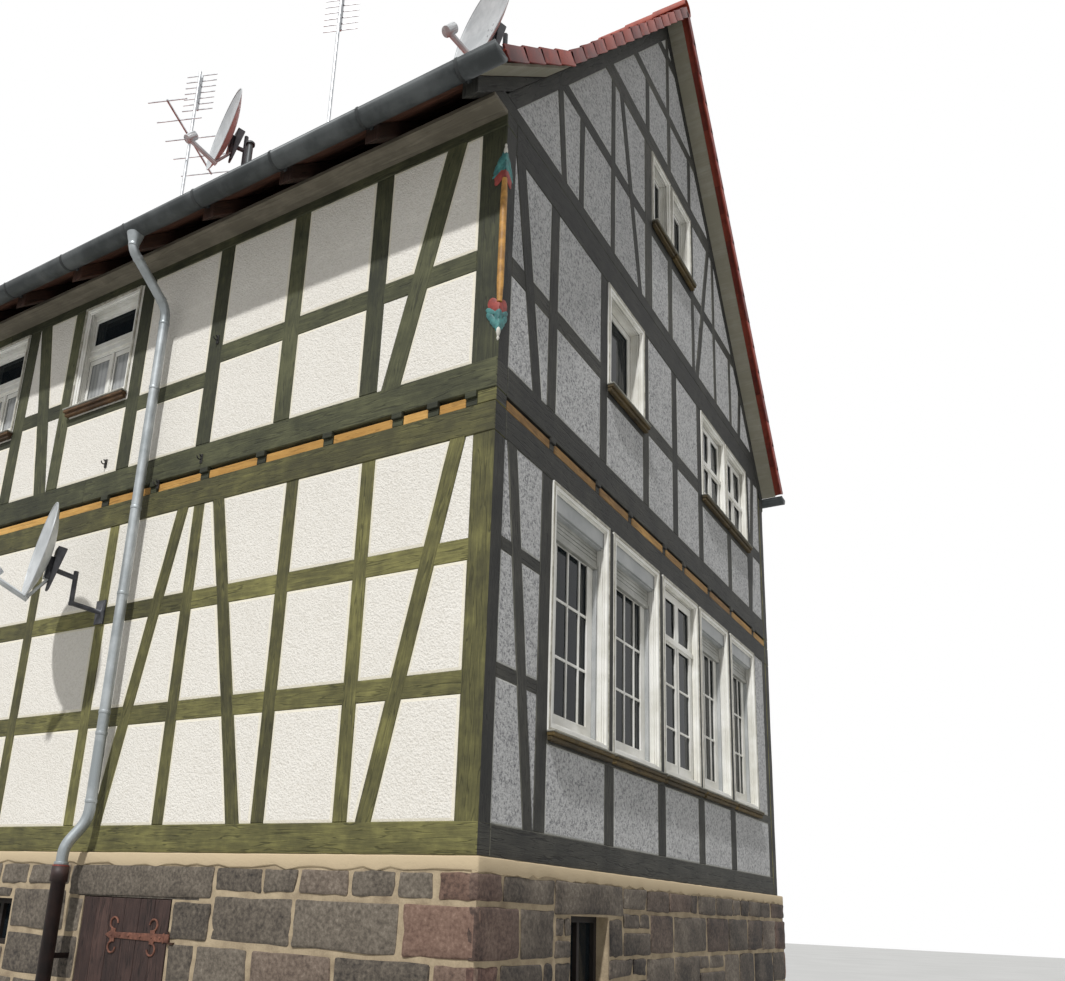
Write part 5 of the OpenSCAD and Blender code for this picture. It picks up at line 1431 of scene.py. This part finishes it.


# On the front the straps go round the outside of the gutter; they are its zinc, darkened to paint the small
# shade they cast
gutter = {"radius": 0.09, "bead": 0.009, "ends": 5.812, "straps": 13, "first": 0.07, "spacing": 0.913,
          "strap": (0.014, 0.0024), "clip": (0.028, 0.026, 0.008), "seams": (-4.2, -1.9, 0.55, 3.05),
          "seam": (0.03, 0.0017), "runs": ((-4.128, 7.6209, -1, 0.0035), (3.728, 7.3617, 1, 0.0))}
fittings, straps = [], []
for y, z, outward, wrap in gutter["runs"]:
    rim = y + outward * (gutter["radius"] - gutter["bead"])
    fittings.append(addTube(gutter["bead"], -gutter["ends"], gutter["ends"], rim, z + 0.004, 12))
    breakEdges(fittings[-1], 0.003, 60, 1)
    half, thick = gutter["strap"]
    for i in range(gutter["straps"]):
        x = -halfLength + gutter["first"] + i * gutter["spacing"]
        straps.append(addTube(gutter["radius"] - thick + wrap, x - half, x + half, y, z - 0.0015, 32, thick))
        fittings.append(addBox(gutter["clip"], (x, rim - outward * 0.005, z + 0.013)))
        breakEdges(fittings[-1], 0.0025)
    half, thick = gutter["seam"]
    for x in gutter["seams"]:
        fittings.append(addTube(gutter["radius"] - thick, x - half, x + half, y, z - 0.001, 32, thick))
assemble("gutterStraps", straps, "strapZinc")
assemble("gutterFittings", fittings, "weatheredZinc")


def addCollar(spot, radius, height, lip, way=(0, 0, 1)):
    part = addRod(radius, height, (0, 0, 0), 32)
    startEdit(part)
    pick(part, "faces", lambda face: abs(face.normal.z) > 0.9)
    bpy.ops.mesh.inset(thickness=lip)
    endEdit()
    breakEdges(part, lip * 0.6, 60)
    part.rotation_euler = Vector(way).to_track_quat("Z", "Y").to_euler()
    part.location = spot
    return settle()


# The downpipe is one bent tube on the route that the frame gives it
pipe = {"radius": 0.045, "bend": 0.1, "steps": 6, "stand": Vector((1.83, -3.805, 1.88)),
        "route": [Vector(spot) for spot in ((1.91, -4.128, 7.5), (1.91, -4.128, 7.385), (1.91, -3.68, 7.03),
                                            (1.91, -3.68, 2.25), (1.83, -3.805, 2.03), (1.83, -3.805, 1.87))],
        "sleeve": (0.0035, 0.028, 0.003), "sleeves": (6.185, 4.99, 4.187, 3.14, 2.96, 2.4), "nearBend": 0.085,
        "funnel": (0.002, 0.03, 0.105), "sink": 0.0066, "sheet": 0.003,
        "seal": (-0.02, 0.064, 0.05, 0.004), "clamp": (0.018, 0.055, 0.024, 0.004)}
route = pipe["route"]
bent = [route[0]]
for before, corner, after in zip(route, route[1:], route[2:]):
    reach = min(pipe["bend"], 0.48 * (corner - before).length, 0.48 * (after - corner).length)
    start, stop = [corner + (end - corner).normalized() * reach for end in (before, after)]
    for step in range(pipe["steps"] + 1):
        part = step / pipe["steps"]
        bent.append(start.lerp(corner, part).lerp(corner.lerp(stop, part), part))
bent.append(route[-1])
pipeCurve = bpy.data.curves.new("rainPipe", "CURVE")
pipeCurve.dimensions = "3D"
pipeCurve.bevel_depth = pipe["radius"]
pipeCurve.bevel_resolution = 7
pipeCurve.use_fill_caps = True
spline = pipeCurve.splines.new("POLY")
spline.points.add(len(bent) - 1)
for point, spot in zip(spline.points, bent):
    point.co = (*spot, 1)
rainPipe = bpy.data.objects.new("rainPipe", pipeCurve)
scene.collection.objects.link(rainPipe)
activate(rainPipe)
bpy.ops.object.convert(target="MESH")
narrow, wide, high = pipe["funnel"]
bpy.ops.mesh.primitive_cone_add(vertices=32, radius1=pipe["radius"] + narrow, radius2=pipe["radius"] + wide,
                                depth=high, location=route[0] + Vector((0, 0, -pipe["sink"])), calc_uvs=False,
                                end_fill_type="NOTHING")
funnel = settle()
useModifier(funnel, "SOLIDIFY", thickness=pipe["sheet"], offset=-1)
assemble("rainPipe", [rainPipe, funnel], "zincSheet", ["downpipe"], 40)

fall, upAxis = (route[2] - route[1]).normalized(), Vector((0, 0, 1))
sleeves = [(route[1] + fall * pipe["nearBend"], fall), (route[2] - fall * pipe["nearBend"], fall),
           (route[2] + Vector((0, 0, -0.16)), upAxis), (route[1] + Vector((0, 0, 0.045)), upAxis)]
sleeves += [(Vector((*route[2].xy, z)), upAxis) for z in pipe["sleeves"]]
more, high, lip = pipe["sleeve"]
assemble("pipeSleeves", [addCollar(spot, pipe["radius"] + more, high, lip, way) for spot, way in sleeves],
         "zincSheet")
for name, (rise, radius, high, lip), slot, finish in (("standRing", pipe["seal"], "cast_iron", "redSeal"),
                                                      ("standClamp", pipe["clamp"], "zinc", "zincSheet")):
    assemble(name, [addCollar(pipe["stand"] + Vector((0, 0, rise)), radius, high, lip)], finish)

# Vent pipe with its cap on the front slope
vent = {"at": (2.295, -3.275), "top": 9.127, "radius": 0.03, "high": 0.78,
        "cap": ((-0.03, 1.5), (0.02, 1), (0.015, 0.4))}  # each step: how far up, how much wider
piece = addRod(vent["radius"], vent["high"], (*vent["at"], vent["top"] - vent["high"] / 2))
piece.name = "ventPipe"
startEdit(piece)
pick(piece, "faces", lambda face: face.normal.z > 0.9)
for rise, wider in vent["cap"]:
    bpy.ops.mesh.extrude_region_move(TRANSFORM_OT_translate={"value": (0, 0, rise)})
    bpy.ops.transform.resize(value=(wider, wider, 1))
faceOutward()
endEdit()
smooth(piece)
dress(piece, ["weatheredZinc"])
print("stage: gutters and pipes")

# Dishes: light bowls, dark brackets behind them, a plate, a rolled rim and four bolts
dish = {"axis": Vector((-0.4037, -0.9067, 0.1219)), "radius": 0.44, "depth": 0.0931, "behind": -0.006,
        "wall_dish": [Vector((1.403, -4.075, 4.497))],
        "roof_dishes": [Vector((5.14, -3.245, 9.04)), Vector((1.874, -3.175, 9.504))],
        "rim": (0.003, 0.006, 0.004), "bolts": (45, 135, 225, 315), "boltRing": 0.05,
        "bolt": (0.009, 0.006, 0.011), "plate": (0.15, 0.4, 0.05), "plateBack": 0.035, "plateDown": 0.13}
axis = dish["axis"]
turn = axis.to_track_quat("Z", "Y").to_euler()
for nodeName in ("wall_dish", "roof_dishes"):
    def isBehind(face):
        nearest = min(dish[nodeName], key=lambda centre: (face.center - centre).length)
        return (face.center - nearest).dot(axis) < dish["behind"]

    name = nodeName.replace("_", "")
    refine(nodeName, name + "Smooth", ["paintedSteel", "bracketSteel"], 30, isBehind)
    rims, plates = [], []
    for centre in dish[nodeName]:
        inside, rod, over = dish["rim"]
        bpy.ops.mesh.primitive_torus_add(major_segments=64, minor_segments=8,
                                         major_radius=dish["radius"] - inside, minor_radius=rod,
                                         rotation=turn, location=centre + axis * (dish["depth"] + over))
        rims.append(settle())
        for angle in dish["bolts"]:
            radius, high, out = dish["bolt"]
            bolt = Vector((dish["boltRing"] * math.cos(math.radians(angle)),
                           dish["boltRing"] * math.sin(math.radians(angle)), out))
            bolt.rotate(turn)
            bpy.ops.mesh.primitive_cylinder_add(vertices=8, radius=radius, depth=high, location=centre + bolt,
                                                rotation=turn)
            rims.append(settle())
        plate = addBox(dish["plate"], (0, 0, 0))
        startEdit(plate)
        pick(plate, "verts", lambda vert: vert.co.z < 0 and vert.co.y > 0)
        bpy.ops.transform.translate(value=(0, 0, -0.03))
        pick(plate, "verts", lambda vert: vert.co.y < 0)
        bpy.ops.transform.resize(value=(0.5, 1, 0.4), center_override=(0, 0, 0))
        endEdit()
        breakEdges(plate, 0.008, 30)
        plate.rotation_euler = turn
        plate.location = centre - axis * dish["plateBack"] + Vector((0, 0, -dish["plateDown"]))
        plates.append(plate)
    assemble(name + "Plates", plates, "bracketSteel", angle=40)
    assemble(name + "Rims", rims, "paintedSteel")
print("stage: dishes")

# Painted staff on the corner post: turned rod, petals, leaves and tips on both faces
staff = {"at": (5.542, -3.567), "ends": ((5.97, -1), (7.06, 1)), "radius": 0.026, "beads": (0.15, 0.85),
         "thin": 0.75, "petals": ((0.056, -0.02, 0.05), (0.034, -0.065, 0.04)),
         "petal": (0.044, 0.007, 1.25), "petalTilt": 0.4,
         "leaves": ((0.018, 0.11, 0.0), (0.065, 0.07, 0.95), (0.07, 0.12, 0.6), (0.05, 0.16, 0.3),
                    (0.018, 0.19, 0.05)),
         "leaf": (0.026, 0.006, 0.062), "tips": ((0.25, 0.017, 0.05), (0.305, 0.011, 0.022))}


def addPetal(spot, size, tilt=0, wall="front"):
    bpy.ops.mesh.primitive_uv_sphere_add(segments=14, ring_count=8, radius=1, calc_uvs=False)
    part = bpy.context.object
    part.scale = size
    settle()
    startEdit(part)
    pick(part, "verts", lambda vert: vert.co.z < -0.2 * size[2])
    bpy.ops.transform.resize(value=(0.7, 1, 1), center_override=(0, 0, 0))
    endEdit()
    part.rotation_euler = (0, tilt, 0 if wall == "front" else math.pi / 2)
    part.location = spot
    return settle()


def cornerSpot(wall, across, z):
    return Vector((5.55 - across, -3.5765, z)) if wall == "front" else Vector((5.5515, -3.575 + across, z))


reds, teals, whites = [], [], []
for end, way in staff["ends"]:
    for wall, turn in (("front", -way), ("gable", way)):
        wide, thick, taller = staff["petal"]
        for across, rise, tall in staff["petals"]:
            reds.append(addPetal(cornerSpot(wall, across, end - way * rise * 0.6),
                                 (wide, thick, tall * taller), turn * -staff["petalTilt"], wall))
        for across, rise, tilt in staff["leaves"]:
            teals.append(addPetal(cornerSpot(wall, across, end + way * rise), staff["leaf"], turn * -tilt,
                                  wall))
    for rise, thick, tall in staff["tips"]:
        whites.append(addPetal(Vector((*staff["at"], end + way * rise)), (thick, thick, tall)))
low, high = [end for end, way in staff["ends"]]
rod = addRod(staff["radius"], high - low, (*staff["at"], (low + high) / 2))
startEdit(rod)
for part in staff["beads"]:
    bpy.ops.mesh.select_all(action="SELECT")
    bpy.ops.mesh.bisect(plane_co=(0, 0, low + part * (high - low)), plane_no=(0, 0, 1))
pick(rod, "verts", lambda vert: abs(vert.co.z - (low + high) / 2) > 0.5)
bpy.ops.transform.resize(value=(staff["thin"], staff["thin"], 1), center_override=(*staff["at"], 0))
endEdit()
for name, parts, finish in (("staffRod", [rod], "staffOchre"), ("staffPetals", reds, "staffRed"),
                            ("staffLeaves", teals, "staffTeal"), ("staffTips", whites, "staffWhite")):
    assemble(name, parts, finish)
print("stage: painted staff")

# Camera, floor and light
photo = {"lens": 31.93, "sensor": 36.0, "shift": (0.0455, 0.1449), "at": (8.684, -8.658, 1.678),
         "turn": (105.7008, -2.3937, 31.0440)}
cameraData = bpy.data.cameras.new("camera")
cameraData.lens = photo["lens"]
cameraData.sensor_fit = "HORIZONTAL"
cameraData.sensor_width = photo["sensor"]
cameraData.shift_x, cameraData.shift_y = photo["shift"]
cameraData.clip_end = 500
camera = bpy.data.objects.new("camera", cameraData)
camera.location = photo["at"]
camera.rotation_euler = [math.radians(angle) for angle in photo["turn"]]
scene.collection.objects.link(camera)
scene.camera = camera

# Matt light grey ground with faint clouds
tree, shader = newMaterial("studioFloor", {"Roughness": 0.9})
clouds = addNode(tree, "TexNoise", {"Scale": 0.4, "Detail": 3.0}, {"Vector": seat(tree)})
shade = addNode(tree, "ValToRGB", {"stops": tints((0.3, "#c2c2c0"), (0.7, "#cacac8"))},
                {"Fac": clouds.outputs["Fac"]})
tree.links.new(shade.outputs["Color"], shader.inputs["Base Color"])
bpy.ops.mesh.primitive_plane_add(size=160, location=(0, 0, -0.002))
floor = settle()
floor.name = "floor"
floor.data.materials.append(bpy.data.materials["studioFloor"])

# Strength, turn and size of the two suns, and the light of the white sky, seen brighter than it shines
light = {"keySun": (3.05, (38.2, 0, 12), 2), "fillSun": (0.12, (60, 0, 75), 60), "sky": 0.24}
for name in ("keySun", "fillSun"):
    strength, turn, size = light[name]
    lamp = bpy.data.lights.new(name, "SUN")
    lamp.energy = strength
    lamp.angle = math.radians(size)
    lampObject = bpy.data.objects.new(name, lamp)
    lampObject.rotation_euler = [math.radians(angle) for angle in turn]
    scene.collection.objects.link(lampObject)

world = bpy.data.worlds.new("studio")
scene.world = world
world.use_nodes = True
tree = world.node_tree
background = tree.nodes["Background"]
paths = addNode(tree, "LightPath")
seen = addNode(tree, "Math", {"operation": "MAXIMUM"},
               {0: paths.outputs["Is Camera Ray"], 1: paths.outputs["Is Glossy Ray"]})
seen = addNode(tree, "Math", {"operation": "MAXIMUM"},
               {0: seen.outputs[0], 1: paths.outputs["Is Transmission Ray"]})
strength = addNode(tree, "Math", {"operation": "MULTIPLY_ADD", 1: 1 - light["sky"], 2: light["sky"]},
                   {0: seen.outputs[0]})
tree.links.new(strength.outputs[0], background.inputs["Strength"])
background.inputs["Color"].default_value = (1, 1, 1, 1)
scene.view_settings.view_transform = "Standard"
print("stage: camera, floor, light")
